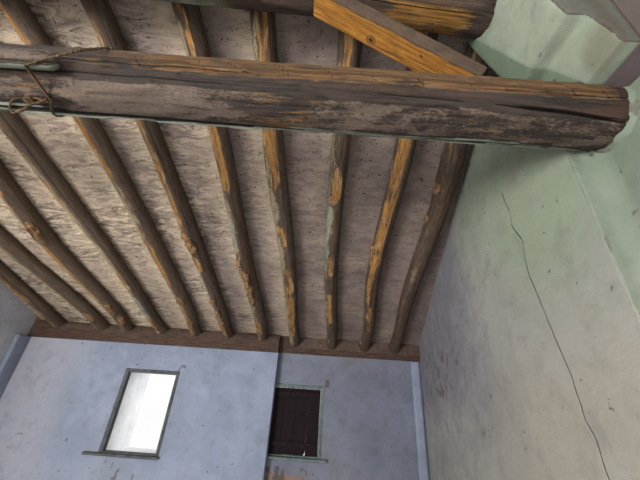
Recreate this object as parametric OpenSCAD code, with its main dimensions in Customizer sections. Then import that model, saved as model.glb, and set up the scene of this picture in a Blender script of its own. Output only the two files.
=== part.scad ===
// One roof slope of an adobe house, from its eave wall up to the ridge:
// peeled log rafters on a wall plate and a ridge log, a heavy beam below the
// ridge, and the earth walls that carry them down to the ground.
// The side towards the ridge is open. +Y points to the eave wall, +Z up.

/* [Room] */
// Width between the side walls, at the eave wall
room_w = 4700; // [4400:50:5200]
// Depth of the walls, from the open end to the eave wall's outer face
room_d = 4000; // [3900:50:4300]
// Thickness of the earth walls
wall_t = 450; // [400:10:600]
// Height of the eave wall, up to the plate
eave_h = 2066; // [1950:1:2200]

/* [Roof] */
// Slope of the roof, in degrees
slope = 20; // [17:0.5:23]
// Distance from the eave wall's inner face to the ridge
ridge_run = 3180; // [3100:10:3200]
// How far the roof passes the eave wall
eave_out = 300; // [200:10:400]
// Diameter of a rafter at its foot
rafter_d = 125; // [110:1:140]
// Thickness of the reed mat and its plaster
mat_t = 40; // [30:1:60]
// Thickness of the earth on the mat
earth_t = 80; // [60:1:120]
// Height of the tile layer
tile_h = 75; // [60:1:90]
// Number of tile rows across the roof
tile_rows = 24; // [20:1:30]

/* [Beams] */
// Diameter of the main beam
beam_d = 214; // [190:1:240]
// Height of the main beam's axis
beam_z = 2533; // [2480:1:2560]
// Distance of the main beam from the ridge line, at the left wall and at the gable
beam_off = [-40, 116]; // [-60:2:120]
// Diameter of the ridge log
ridge_d = 230; // [200:1:250]
// Distance of the ridge log from the ridge line, at the left wall and at the gable
ridge_off = [-20, 65]; // [-30:1:80]
// How far the ridge log bows away from the eave
ridge_bow = 80; // [0:1:90]
// How deep a beam end is built into a wall
bearing = 240; // [180:10:300]
// Diameter of the pole that is lashed to the main beam
pole_d = 80; // [60:1:100]
// Width and thickness of the sawn brace
brace_size = [100, 60]; // [50:1:120]

/* [Windows] */
// Clear width of the left window
window_w = 545; // [450:5:650]
// Clear height of the left window
window_h = 736; // [600:1:850]
// Height of the left window's sill
window_z = 1010; // [900:1:1100]
// Clear height of the shuttered window
shutter_h = 625; // [550:1:700]
// Height of the shuttered window's sill
shutter_z = 1075; // [950:1:1150]
// Width of a window frame's timber
frame_w = 40; // [30:1:60]

/* [Hidden] */
eps = 1;
sky = 5000;

// Places in plan. The open end and the eave are equally far from the origin.
half_w = room_w / 2;
outer_x = half_w + wall_t;
depth = room_d + eave_out;
open_y = -depth / 2;
eave_y = depth / 2;
outer_y = eave_y - eave_out;
wall_y = outer_y - wall_t;
ridge_y = wall_y - ridge_run;
roof_end_y = ridge_y - 40;

// Heights along the slope: n is measured square to the roof from the mat's underside.
tan_s = tan(slope);
cos_s = cos(slope);
sin_s = sin(slope);
plate_h = 70;
plate_d = 110;
lap = 10;
rafter_r = rafter_d / 2;
ceiling_z = eave_h + plate_h + rafter_d / cos_s;
function slope_z(y, n = 0) = ceiling_z + (wall_y - y) * tan_s + n / cos_s;
// A point by its x, its distance up the slope from the wall's inner face, and n
function on_slope(x, s, n) = [x, wall_y - s * cos_s + n * sin_s,
                              ceiling_z + s * sin_s + n * cos_s];
// Distance up the slope of a plumb plane at y, for n = 0
function slope_s(y) = (wall_y - y) / cos_s;

// The projecting inner leaf on the left part of the eave wall
leaf_t = 100;
leaf_x = 672;
leaf_h = eave_h - 12;
wall_split_x = 60;

// Windows: the left one is centred here, the shuttered one starts here
window_x = -722;
shutter_x = 655;
shutter_w = 535;
frame_d = 60;

// The gable's inner face in plan, from the eave wall towards the open end. Its last part
// stands in front of the plain wall. Under the beams it is cut back, and a pilaster
// fills the back of that recess.
pilaster_y = [-1565, -1910];
pilaster_x = [2150, 2260];
pilaster_h = 2566;
gable_x = 2065;
gable_face = [[half_w, wall_y + eps], [2095, -900], [gable_x, pilaster_y[0]], [gable_x, pilaster_y[1]],
              [half_w, pilaster_y[1]], [half_w, open_y]];

// Rafters, right to left: foot x, ridge x, sideways bow, crook, phase, middle radius
rafters = [
    [2045, 1915,   5, 20, 110, 70],
    [1685, 1630, -25, 22,  65, 66],
    [1290, 1262, -50,  5,  50, 62],
    [850,  790,    0, 10, 245, 68],
    [460,  405,   20, 14,  45, 66],
    [45,   -70,   40,  4,  20, 64],
    [-345, -530,  95, 12,  40, 66],
    [-765, -1040, 40,  9, 270, 62],
    [-1190, -1330, -50, 30, 30, 68],
    [-1495, -1930, -60, 30, 30, 64],
    [-2050, -2250, -10, 8,  60, 66]
];

module along_x(x0, x1, outline) {
    translate([x0, 0, 0]) rotate([90, 0, 90]) linear_extrude(x1 - x0) polygon(outline);
}

module block(x0, x1, y0, y1, z0, z1) {
    translate([x0, y0, z0]) cube([x1 - x0, y1 - y0, z1 - z0]);
}

// A slab between two heights n over the slope, with plumb ends
module slope_slab(x0, x1, y0, y1, n0, n1) {
    along_x(x0, x1, [[y0, slope_z(y0, n0)], [y1, slope_z(y1, n0)],
                     [y1, slope_z(y1, n1)], [y0, slope_z(y0, n1)]]);
}

// Joins rings of points, all of one length, into a closed skin
module skin(rings) {
    n = len(rings[0]);
    m = len(rings);
    sides = [for (j = [0 : m - 2]) for (i = [0 : n - 1])
        let (a = j * n + i, b = j * n + (i + 1) % n) each [[a, b, b + n], [a, b + n, a + n]]];
    polyhedron([for (r = rings) each r],
        concat([[for (i = [n - 1 : -1 : 0]) i], [for (i = [0 : n - 1]) (m - 1) * n + i]], sides));
}

// Rises from 0 to 1 between a and b and is level outside
function ease(v, a, b) = let (t = max(0, min(1, (v - a) / (b - a)))) t * t * (3 - 2 * t);

// Rafters: round and straight where they pass through the wall, crooked above it.
// Their tops are trimmed flush under the mat.
rafter_sides = 12;
rafter_rings = 18;
rafter_s0 = slope_s(eave_y - 20);
rafter_s1 = slope_s(roof_end_y);
tail_s = slope_s(wall_y - 20);
crook_run = 400;
function rafter_mid(k, s) =
    let (p = rafters[k], t = s / rafter_s1, g = ease(s, tail_s, tail_s + crook_run))
    p[0] + (p[1] - p[0]) * t
    + g * (p[2] * sin(180 * t) + p[3] * sin(540 * t + p[4]));
function rafter_rad(k, s) =
    let (p = rafters[k], t = max(0, s / rafter_s1), g = ease(s, tail_s, tail_s + crook_run))
    rafter_r + g * ((p[5] - rafter_r) * sin(180 * t) + 2.5 * sin(900 * t + p[4]) * (1 - t));
function rafter_ring(k, s) =
    let (x = rafter_mid(k, s), g = ease(s, tail_s, tail_s + crook_run), phase = rafters[k][4],
         r = rafter_rad(k, s), corner_r = r / cos(180 / rafter_sides))
    [for (i = [0 : rafter_sides - 1])
        let (a = (i + 0.5) * 360 / rafter_sides,
             f = 1 + 0.06 * g * sin(2 * a + phase + s / 9) * (sin(a) > 0.9 ? 0 : 1))
        on_slope(x - corner_r * f * cos(a), s, min(0, -r + corner_r * f * sin(a)))];
module rafter(k) {
    step = (rafter_s1 - tail_s) / (rafter_rings - 1);
    color(k % 2 == 0 ? "peru" : "sienna")
    skin([for (j = [0 : rafter_rings]) rafter_ring(k, j == 0 ? rafter_s0 : tail_s + step * (j - 1))]);
}
// The straight foot of a rafter, where it passes through the top of the wall
module rafter_foot(k) {
    skin([rafter_ring(k, rafter_s0 - 60), rafter_ring(k, tail_s)]);
}

// Logs that lie along X. Each has a centre line, and inside the walls it is plain and round.
haunch_x = 1860;
beam_r = beam_d / 2;
ridge_r = ridge_d / 2;
pole_r = pole_d / 2;
log_x0 = -half_w - bearing;
log_x1 = half_w + 20;
// Value at x of a straight line with one value at the left wall and one at the gable
function between(ends, x) = ends[0] + (ends[1] - ends[0]) * (x + half_w) / (gable_x + half_w);
function beam_mid(x) = [x, ridge_y + between(beam_off, x), beam_z];
function ridge_mid(x) =
    let (t = max(0, min(1, (x + half_w) / (haunch_x + half_w))),
         y = ridge_y + between(ridge_off, x) - ridge_bow * sin(180 * t))
    [x, y, slope_z(y, -rafter_d) - ridge_r / cos_s];
// The pole touches the beam below its front and tapers to a cut end
pole_end_x = 330;
pole_angle = 29;
pole_gap = 3;
function pole_rad(x) = pole_r * (1 - 0.3 * ease(x, -600, pole_end_x));
function pole_mid(x) = beam_mid(x)
    - (beam_r + pole_rad(x) + pole_gap) * [0, cos(pole_angle), sin(pole_angle)];

log_sides = 16;
function log_ring(mid, r, rough, phase) =
    [for (i = [0 : log_sides - 1])
        let (a = i * 360 / log_sides, x = mid[0],
             f = 1 + rough * (0.5 * sin(3 * a + phase + x / 7) + 0.5 * sin(5 * a - x / 5 + 2 * phase)))
        mid + r * f * [0, cos(a), sin(a)]];
// 0 inside the walls, 1 where the log is in view
function in_view(x, in0, in1) = ease(x, in0, in0 + 150) * (1 - ease(x, in1 - 150, in1));
function swell(x, phase) = 1 + 0.03 * sin(x / 10 + phase);
// The opening in masonry for a log between two points
module pocket(a, b, r) {
    d = b - a;
    translate(a) rotate([0, acos(d[2] / norm(d)), atan2(d[1], d[0])])
        cylinder(r = r, h = norm(d), $fn = 48);
}
module left_pockets() {
    pocket(beam_mid(log_x0), beam_mid(-half_w + lap), beam_r);
    pocket(ridge_mid(log_x0), ridge_mid(-half_w), ridge_r);
    pocket(pole_mid(log_x0), pole_mid(-half_w + lap), pole_r);
}
module beam_pocket() {
    pocket(beam_mid(haunch_x), beam_mid(log_x1), beam_r);
}
module ridge_pocket() {
    pocket(ridge_mid(haunch_x - 90), ridge_mid(log_x1), ridge_r);
}

log_rings = 26;
beam_in = [-half_w, gable_x - 25];
ridge_in = [-half_w, haunch_x - 60];
module main_beam() {
    phase = 30;
    color("rosybrown") skin([for (j = [0 : log_rings])
        let (x = log_x0 + (log_x1 - log_x0) * j / log_rings, g = in_view(x, beam_in[0], beam_in[1]))
        log_ring(beam_mid(x), beam_r * (1 - g + g * swell(x, phase)), 0.05 * g, phase)]);
}
module ridge_beam() {
    phase = 120;
    color("dimgray") skin([for (j = [0 : log_rings])
        let (x = log_x0 + (log_x1 - log_x0) * j / log_rings, g = in_view(x, ridge_in[0], ridge_in[1]))
        log_ring(ridge_mid(x), ridge_r, 0.04 * g, phase)]);
}
module lashed_pole() {
    rings = 16;
    color("tan") skin([for (j = [0 : rings])
        let (x = log_x0 + (pole_end_x - log_x0) * j / rings, g = ease(x, -half_w, -half_w + 150))
        log_ring(pole_mid(x), pole_rad(x), 0.03 * g, 60)]);
}

// Sawn timber, wedged between the ridge log and the top of the main beam
brace_top = [1080, -1775, 3020];
brace_foot = [1690, -1695, 2632];
module brace() {
    run = brace_foot - brace_top;
    color("goldenrod")
    translate(brace_top)
        rotate([0, atan2(-run[2], norm([run[0], run[1]])), atan2(run[1], run[0])])
            translate([0, -brace_size[0] / 2, 0])
                cube([norm(run), brace_size[0], brace_size[1]]);
}

// Walls
far_profile = [[wall_y, 0], [outer_y, 0], [outer_y, slope_z(outer_y, -rafter_d)],
               [wall_y + plate_h / tan_s, eave_h], [wall_y, eave_h]];
lintel_d = 160;
lintel_h = 110;
lintel_over = 180;
module window_hole(x, w, z, h) {
    block(x, x + w, wall_y - leaf_t - eps, outer_y + eps, z, z + h);
}
module lintel_shape(x, w, z, h) {
    block(x - lintel_over, x + w + lintel_over, outer_y - lintel_d, outer_y, z + h, z + h + lintel_h);
}
win_l_x = window_x - window_w / 2 - frame_w;
win_l_w = window_w + 2 * frame_w;
win_l_z = window_z - frame_w;
win_l_h = window_h + 2 * frame_w;
win_r_x = shutter_x - frame_w;
win_r_w = shutter_w + 2 * frame_w;
win_r_z = shutter_z - frame_w;
win_r_h = shutter_h + 2 * frame_w;
module far_wall_left() {
    color("tan") difference() {
        along_x(-outer_x, wall_split_x, far_profile);
        window_hole(win_l_x, win_l_w, win_l_z, win_l_h);
        lintel_shape(win_l_x, win_l_w, win_l_z, win_l_h);
    }
}
module far_wall_right() {
    color("tan") difference() {
        along_x(wall_split_x, outer_x, far_profile);
        window_hole(win_r_x, win_r_w, win_r_z, win_r_h);
        lintel_shape(win_r_x, win_r_w, win_r_z, win_r_h);
    }
}
module inner_leaf() {
    color("lavender") difference() {
        block(-half_w, leaf_x, wall_y - leaf_t, wall_y, 0, leaf_h);
        window_hole(win_l_x, win_l_w, win_l_z, win_l_h);
    }
}
// The side walls rise with the slope, and fall again past the ridge
side_profile = [[open_y, 0], [wall_y, 0], [wall_y, eave_h], [wall_y + lap, eave_h],
                [wall_y + lap, slope_z(wall_y + lap)], [roof_end_y, slope_z(roof_end_y)],
                [open_y, slope_z(roof_end_y) - (roof_end_y - open_y) * tan_s]];
module left_wall() {
    color("tan") difference() {
        along_x(-outer_x, -half_w, side_profile);
        left_pockets();
    }
}
// The recess from x to the pilaster's back
module recess(x) {
    block(x, pilaster_x[1], pilaster_y[1], pilaster_y[0], 0, pilaster_h);
}
module right_wall() {
    color("tan") difference() {
        intersection() {
            along_x(gable_x, outer_x, side_profile);
            translate([0, 0, -eps]) linear_extrude(sky)
                polygon(concat(gable_face, [[outer_x, open_y], [outer_x, wall_y + lap],
                                            [half_w, wall_y + lap]]));
        }
        recess(gable_x - eps);
        beam_pocket();
        ridge_pocket();
    }
}
module gable_pilaster() {
    color("honeydew") difference() {
        recess(pilaster_x[0]);
        beam_pocket();
    }
}
// Masonry that is corbelled out from the gable above the pilaster, to hold the ridge log.
// Each level: height, x of its face, y of the corner behind the face, y of its back.
// The face leans out, and two levels close together make a ledge's underside.
haunch_levels = [
    [pilaster_h, 2007, -1735, -1600],
    [2634, 1993, -1735, -1600],
    [2707, 1953, -1738, -1620],
    [2710, 1895, -1736, -1630],
    [2890, 1851, -1682, -1596],
    [3080, 1806, -1625, -1575],
    [3400, 1730, -1605, -1570]
];
chamfer_x = 15;
// The top is a cradle round the lower part of the ridge log
haunch_n = -rafter_d - 45;
module ridge_haunch() {
    color("honeydew") difference() {
        intersection() {
            skin([for (v = haunch_levels)
                [[gable_x, pilaster_y[1], v[0]], [gable_x, v[3], v[0]], [v[1] + chamfer_x, v[3], v[0]],
                 [v[1], v[2], v[0]], [v[1], pilaster_y[1], v[0]]]]);
            along_x(haunch_x - 200, outer_x, [[open_y, 0], [wall_y, 0], [wall_y, slope_z(wall_y, haunch_n)],
                [roof_end_y, slope_z(roof_end_y, haunch_n)],
                [open_y, slope_z(roof_end_y, haunch_n) - (roof_end_y - open_y) * tan_s]]);
        }
        ridge_pocket();
        beam_pocket();
    }
}

// Thin strips of plaster and timber in the two far corners: width, and depth
strip_left = [60, 160];
strip_right = [100, 40];
strip_gap = 30;
module corner_strip_left() {
    y1 = wall_y - leaf_t;
    color("lavender") block(-half_w, -half_w + strip_left[0], y1 - strip_left[1], y1, 0, leaf_h);
}
module corner_strip_right() {
    x1 = half_w - strip_gap;
    color("lavender") block(x1 - strip_right[0], x1, wall_y - strip_right[1], wall_y, 0, eave_h);
}

// Wall plates and the mud between the rafters
module wall_plate_left() {
    y0 = wall_y - leaf_t - lap;
    y1 = wall_y + lap;
    color("saddlebrown") along_x(-half_w, leaf_x, [[y0, leaf_h], [wall_y, leaf_h], [wall_y, eave_h],
        [y1, eave_h], [y1, slope_z(y1, -rafter_d)], [y0, slope_z(y0, -rafter_d)]]);
}
module wall_plate_right() {
    y1 = wall_y + plate_d;
    color("saddlebrown") along_x(leaf_x, half_w - 5, [[wall_y, eave_h], [y1, eave_h],
        [y1, slope_z(y1, -rafter_d)], [wall_y, slope_z(wall_y, -rafter_d)]]);
}
module wall_top_fill() {
    y0 = wall_y + lap;
    y1 = wall_y + plate_d;
    color("rosybrown") difference() {
        along_x(-outer_x, outer_x, [[y0, slope_z(y0, -rafter_d)], [y1, slope_z(y1, -rafter_d)],
            [wall_y + plate_h / tan_s, eave_h], [outer_y, slope_z(outer_y, -rafter_d)],
            [outer_y, slope_z(outer_y)], [y0, slope_z(y0)]]);
        for (k = [0 : len(rafters) - 1]) rafter_foot(k);
    }
}

// Roof layers
module ceiling_mat() {
    color("linen") slope_slab(-outer_x, outer_x, eave_y, roof_end_y, 0, mat_t);
}
module roof_earth() {
    color("burlywood") slope_slab(-outer_x, outer_x, eave_y, roof_end_y, mat_t, mat_t + earth_t);
}
// Barrel tiles, as one wavy layer with a round crest on every row
tile_pitch = 2 * outer_x / tile_rows;
tile_steps = 8;
tile_wall = 18;
tile_n = mat_t + earth_t;
tile_over = 200;
module roof_tiles() {
    s0 = slope_s(eave_y) - tile_over;
    s1 = slope_s(roof_end_y) + tile_over;
    tops = [for (i = [0 : tile_rows * tile_steps])
        let (a = i * 360 / tile_steps)
        [-outer_x + i * tile_pitch / tile_steps,
         tile_n + tile_wall + (tile_h - tile_wall) * (0.5 - 0.5 * cos(a))]];
    color("indianred") intersection() {
        translate([0, wall_y, ceiling_z]) rotate([90 - slope, 0, 0]) translate([0, 0, s0])
            linear_extrude(s1 - s0)
                polygon(concat([[-outer_x, tile_n]], tops, [[outer_x, tile_n]]));
        block(-outer_x - eps, outer_x + eps, roof_end_y, eave_y, 0, sky);
    }
}

// Windows
module frame(x, w, z, h, y) {
    difference() {
        block(x - frame_w, x + w + frame_w, y, y + frame_d, z - frame_w, z + h + frame_w);
        block(x, x + w, y - eps, y + frame_d + eps, z, z + h);
    }
}
left_frame_y = wall_y - leaf_t;
right_frame_y = wall_y;
module window_frame_left() {
    color("cadetblue") frame(window_x - window_w / 2, window_w, window_z, window_h, left_frame_y);
}
module window_frame_right() {
    color("cadetblue") frame(shutter_x, shutter_w, shutter_z, shutter_h, right_frame_y);
}
sill_t = 25;
sill_out = 45;
// How far a sill runs past its window on the left and on the right
sill_over_l = [140, 10];
sill_over_r = 60;
module window_sill_left() {
    z1 = window_z - frame_w;
    color("cadetblue") block(win_l_x - sill_over_l[0], win_l_x + win_l_w + sill_over_l[1],
                             left_frame_y - sill_out, left_frame_y, z1, z1 + sill_t);
}
module window_sill_right() {
    z1 = shutter_z - frame_w;
    color("cadetblue") block(leaf_x, win_r_x + win_r_w + sill_over_r,
                             right_frame_y - sill_out, right_frame_y, z1, z1 + sill_t);
}
module window_lintel_left() {
    color("sienna") lintel_shape(win_l_x, win_l_w, win_l_z, win_l_h);
}
module window_lintel_right() {
    color("sienna") lintel_shape(win_r_x, win_r_w, win_r_z, win_r_h);
}
// The closed shutter: upright planks on two rails
shutter_planks = 4;
plank_t = 22;
groove = [4, 4];
rail = [60, 15];
rail_end = 20;
rail_inset = 70;
module shutter() {
    plank = shutter_w / shutter_planks;
    y0 = right_frame_y + rail[1];
    color("maroon") {
        difference() {
            block(shutter_x, shutter_x + shutter_w, y0, y0 + plank_t, shutter_z, shutter_z + shutter_h);
            for (i = [1 : shutter_planks - 1])
                block(shutter_x + i * plank - groove[0] / 2, shutter_x + i * plank + groove[0] / 2,
                      y0 - eps, y0 + groove[1], shutter_z - eps, shutter_z + shutter_h + eps);
        }
        for (z = [shutter_z + rail_inset, shutter_z + shutter_h - rail_inset - rail[0]])
            block(shutter_x + rail_end, shutter_x + shutter_w - rail_end, right_frame_y, y0, z, z + rail[0]);
    }
}

far_wall_left();
far_wall_right();
inner_leaf();
left_wall();
right_wall();
ridge_haunch();
gable_pilaster();
corner_strip_left();
corner_strip_right();
wall_plate_left();
wall_plate_right();
wall_top_fill();
rafter(0);  // rafter_01
rafter(1);  // rafter_02
rafter(2);  // rafter_03
rafter(3);  // rafter_04
rafter(4);  // rafter_05
rafter(5);  // rafter_06
rafter(6);  // rafter_07
rafter(7);  // rafter_08
rafter(8);  // rafter_09
rafter(9);  // rafter_10
rafter(10);  // rafter_11
main_beam();
ridge_beam();
brace();
lashed_pole();
ceiling_mat();
roof_earth();
roof_tiles();
window_frame_left();
window_sill_left();
window_lintel_left();
window_frame_right();
window_sill_right();
window_lintel_right();
shutter();
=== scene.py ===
"""Looks of the log roof slope with adobe walls, built round its CAD frame. Metres, +Z up."""

import math
from collections import namedtuple

import bpy
import numpy as np
from mathutils import Matrix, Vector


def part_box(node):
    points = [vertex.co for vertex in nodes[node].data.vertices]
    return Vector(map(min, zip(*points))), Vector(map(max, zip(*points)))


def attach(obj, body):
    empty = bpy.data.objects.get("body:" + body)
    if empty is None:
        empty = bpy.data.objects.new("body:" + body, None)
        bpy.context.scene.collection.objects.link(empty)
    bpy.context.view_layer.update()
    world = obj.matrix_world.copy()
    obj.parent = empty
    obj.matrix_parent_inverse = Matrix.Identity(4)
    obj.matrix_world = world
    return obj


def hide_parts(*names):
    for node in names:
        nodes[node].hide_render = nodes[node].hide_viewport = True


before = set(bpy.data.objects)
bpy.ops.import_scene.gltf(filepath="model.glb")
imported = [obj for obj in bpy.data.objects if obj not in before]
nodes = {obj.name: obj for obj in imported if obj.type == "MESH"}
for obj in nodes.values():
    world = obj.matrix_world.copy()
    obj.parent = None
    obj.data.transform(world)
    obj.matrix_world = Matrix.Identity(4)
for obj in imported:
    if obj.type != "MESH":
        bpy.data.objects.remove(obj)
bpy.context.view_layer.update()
scene = bpy.context.scene
pi = math.pi

# Sizes that the solids have too. X runs along the eave, Y from the open side to the eave.
HALF_W = 2.35  # inner faces of the side walls
OUTER_X = 2.8  # outer faces of the side walls
OPEN_Y = -2.15  # ends of the side walls
EAVE_Y = 2.15  # edge of the roof
OUTER_Y = 1.85  # outer face of the eave wall
WALL_Y = 1.4  # inner face of the eave wall
RIDGE_Y = -1.78  # middle of the ridge log and of the main beam
ROOF_END_Y = -1.82  # upper edge of the roof
EAVE_H = 2.066  # top of the eave wall's inner face
CEILING_Z = 2.26902  # ceiling over the eave wall's inner face
LEAF_Y = 1.3  # face of the inner leaf
LEAF_X = 0.672  # right end of the inner leaf
LEAF_H = 2.054  # top of the inner leaf
RAFTER_R = 0.0625
MAT_T = 0.04
EARTH_T = 0.08
SLOPE = math.radians(20)
COS, SIN, TAN = math.cos(SLOPE), math.sin(SLOPE), math.tan(SLOPE)

# Window holes: left, right, bottom, top
HOLE_L = (-1.0345, -0.4095, 0.970, 1.786)
HOLE_R = (0.615, 1.230, 1.035, 1.740)
FRAME_W, FRAME_D = 0.04, 0.06
SILL_D, SILL_T = 0.045, 0.025
LINTEL_OVER, LINTEL_H = 0.18, 0.11


def slope_z(y, n=0.0):
    """Height of the slope at y, n over the ceiling."""
    return CEILING_Z + (WALL_Y - y) * TAN + n / COS


def past_ridge(y, below):
    """Height of a side wall's top on the open side of the ridge, less below."""
    return slope_z(ROOF_END_Y) - (ROOF_END_Y - y) * TAN - below


def side_wall_top(y, n):
    """Height of a side wall's top at y, n over it under the slope."""
    return np.minimum(slope_z(y, n), past_ridge(y, 0.002))


def on_slope(x, s, n):
    """Points at x, s up the slope from the eave wall and n over the ceiling."""
    x, s, n = np.broadcast_arrays(x, s, n)
    return np.stack([x, WALL_Y - s * COS + n * SIN, CEILING_Z + s * SIN + n * COS], -1)


def slope_s(y):
    """Way up the slope from the eave wall to y."""
    return (WALL_Y - y) / COS


def ease(v, a, b):
    """Rises smoothly from 0 at a to 1 at b."""
    t = np.clip((v - a) / (b - a), 0, 1)
    return t * t * (3 - 2 * t)


def window(v, a, b, soft):
    """1 between a and b, 0 beyond, with soft ends."""
    return ease(v, a - soft, a + soft) * (1 - ease(v, b - soft, b + soft))


# Noise
LATTICE = np.random.default_rng(11).random((32, 32, 32))


def noise(p):
    """Smooth noise from -1 to 1 at points p."""
    i = np.floor(p).astype(int)
    f = p - i
    f = f * f * (3 - 2 * f)
    i, j = i & 31, (i + 1) & 31
    lo = [i[..., k] for k in range(3)]
    hi = [j[..., k] for k in range(3)]
    fx, fy, fz = f[..., 0], f[..., 1], f[..., 2]

    def along(y, z):
        return LATTICE[lo[0], y, z] * (1 - fx) + LATTICE[hi[0], y, z] * fx

    near = along(lo[1], lo[2]) * (1 - fy) + along(hi[1], lo[2]) * fy
    far = along(lo[1], hi[2]) * (1 - fy) + along(hi[1], hi[2]) * fy
    return 2 * (near * (1 - fz) + far * fz) - 1


def fbm(p, scale=1.0, octaves=4, seed=0.0):
    """Noise of several sizes, each half as strong as the one before."""
    total, size, norm = 0, 1.0, 0.0
    for k in range(octaves):
        total = total + size * noise(p * scale * 2.03**k + seed + 9.7 * k)
        norm += size
        size *= 0.5
    return total / norm


def stack(*parts):
    """Points from their coordinates, which may have different shapes."""
    return np.stack(np.broadcast_arrays(*parts), -1)


def wander(x, y, z, octaves=3):
    """Noise at the point x, y, z."""
    return fbm(stack(x, y, z), octaves=octaves)


def on_log(along, a, reach=1.0):
    """Points round a log's axis: along it, and reach away from it at angle a."""
    return stack(along, np.cos(a) * reach, np.sin(a) * reach)


def near(turn):
    """An angle between -pi and pi."""
    return (turn + pi) % (2 * pi) - pi


# Meshes
def grid_faces(rows, columns, wrap=False):
    """Four-sided faces between rows and columns of points."""
    r, c = np.meshgrid(np.arange(rows - 1), np.arange(columns - (not wrap)), indexing="ij")
    a = r * columns + c
    b = r * columns + (c + 1) % columns
    return np.stack([a, b, b + columns, a + columns], -1).reshape(-1, 4)


def piece(name, verts, faces, material, slot, replaces=(), values=None, sharp=40):
    """A mesh piece that rides on the root body. values holds numbers for each point."""
    verts = np.asarray(verts, float).reshape(-1, 3)
    faces = faces if isinstance(faces, list) else [faces]
    loops = np.concatenate([f.ravel() for f in faces])
    sizes = np.concatenate([np.full(len(f), f.shape[1]) for f in faces])
    starts = np.concatenate([[0], np.cumsum(sizes)[:-1]])
    mesh = bpy.data.meshes.new(name)
    mesh.vertices.add(len(verts))
    mesh.vertices.foreach_set("co", verts.ravel())
    mesh.loops.add(len(loops))
    mesh.loops.foreach_set("vertex_index", loops.astype(np.int32))
    mesh.polygons.add(len(starts))
    mesh.polygons.foreach_set("loop_start", starts.astype(np.int32))
    mesh.update(calc_edges=True)
    mesh.validate()
    for key, value in (values or {}).items():
        value = np.asarray(value, float)
        kind, field = ("FLOAT", "value") if value.size == len(verts) else ("FLOAT_VECTOR", "vector")
        mesh.attributes.new(key, kind, "POINT").data.foreach_set(field, value.ravel())
    mesh.shade_smooth()
    mesh.set_sharp_from_angle(angle=math.radians(sharp))
    mesh.materials.append(material)
    obj = bpy.data.objects.new(name, mesh)
    bpy.context.collection.objects.link(obj)
    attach(obj, "root")
    if replaces:
        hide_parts(*replaces)
    return obj


def closed(rings):
    """Points and outward faces of a closed skin through rings of points."""
    m, n = rings.shape[:2]
    verts = np.concatenate([rings.reshape(-1, 3), [rings[0].mean(0), rings[-1].mean(0)]])
    side = grid_faces(m, n, wrap=True)
    i = np.arange(n)
    j = (i + 1) % n
    first = np.stack([j, i, np.full(n, m * n)], -1)
    last = np.stack([i, j, np.full(n, 1)], -1) + [(m - 1) * n, (m - 1) * n, m * n]
    caps = np.concatenate([first, last])
    tris = np.concatenate([side[:, [0, 1, 2]], side[:, [0, 2, 3]], caps])
    a, b, c = (verts[tris[:, k]] for k in range(3))
    if np.einsum("ij,ij->", a, np.cross(b, c)) < 0:
        side, caps = side[:, ::-1], caps[:, ::-1]
    return verts, [side, caps]


def with_ends(value):
    """Numbers for the points of closed(): one for each ring point and the two end centres."""
    if value.ndim == 3:
        return np.concatenate([value.reshape(-1, 3), [value[0].mean(0), value[-1].mean(0)]])
    return np.concatenate([value.ravel(), [value[0].mean(), value[-1].mean()]])


def ringed(name, rings, material, slot, node, values, sharp=40):
    """A closed piece that replaces a node, with a number or a vector for each point of its rings."""
    verts, faces = closed(rings)
    wide = {}
    for key, value in values.items():
        value = np.asarray(value, float)
        wide[key] = with_ends(value if value.ndim == 3 else np.broadcast_to(value, rings.shape[:2]))
    return piece(name, verts, faces, material, slot, [node], wide, sharp)


def join(parts):
    """One set of points and faces from several."""
    verts, faces, count = [], [], 0
    for v, f in parts:
        faces += [g + count for g in f]
        verts.append(v)
        count += len(v)
    by_size = [np.concatenate([f for f in faces if f.shape[1] == k]) for k in (3, 4)]
    return np.concatenate(verts), by_size


def skin(name, base, out, lift, material, slot, values, drop=None):
    """A layer over a CAD face: base points, moved out by lift, with an edge that runs back in."""
    shape = lift.shape
    base = np.pad(np.broadcast_to(base, shape + (3,)), ((1, 1), (1, 1), (0, 0)), mode="edge")
    lift = np.pad(np.maximum(lift, 0.0006), 1, constant_values=-0.004)
    out = np.asarray(out, float)
    out = out / np.linalg.norm(out, axis=-1, keepdims=True)
    if out.ndim == 3:
        out = np.pad(out, ((1, 1), (1, 1), (0, 0)), mode="edge")
    faces = grid_faces(*lift.shape)
    if drop is not None:
        faces = faces[~drop(base.reshape(-1, 3)[faces].mean(1))]
    verts = (base + out * lift[..., None]).reshape(-1, 3)
    a, b, c = (verts[faces[:, k]] for k in (0, 1, 2))
    middle = out if out.ndim == 1 else out.mean((0, 1))
    if np.cross(b - a, c - a).sum(0) @ middle < 0:
        faces = faces[:, ::-1]
    wide = {}
    for key, value in values.items():
        value = np.asarray(value, float)
        if value.ndim == 3:
            wide[key] = np.pad(value, ((1, 1), (1, 1), (0, 0)), mode="edge")
        else:
            wide[key] = np.pad(np.broadcast_to(value, shape), 1, mode="edge")
    return piece(name, verts, faces, material, slot, (), wide)


# Materials. Their colours are written as in a picture, 0 to 255.
def linear(colour):
    """A shader's colour from a written one. A socket stays as it is."""
    if isinstance(colour, bpy.types.NodeSocket):
        return colour
    parts = [((c / 255 + 0.055) / 1.055) ** 2.4 if c > 10 else c / 255 / 12.92 for c in colour]
    return (*parts, 1.0)


def times(colour, factor):
    """A written colour made lighter or darker."""
    return [min(255, c * factor) for c in colour]


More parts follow.
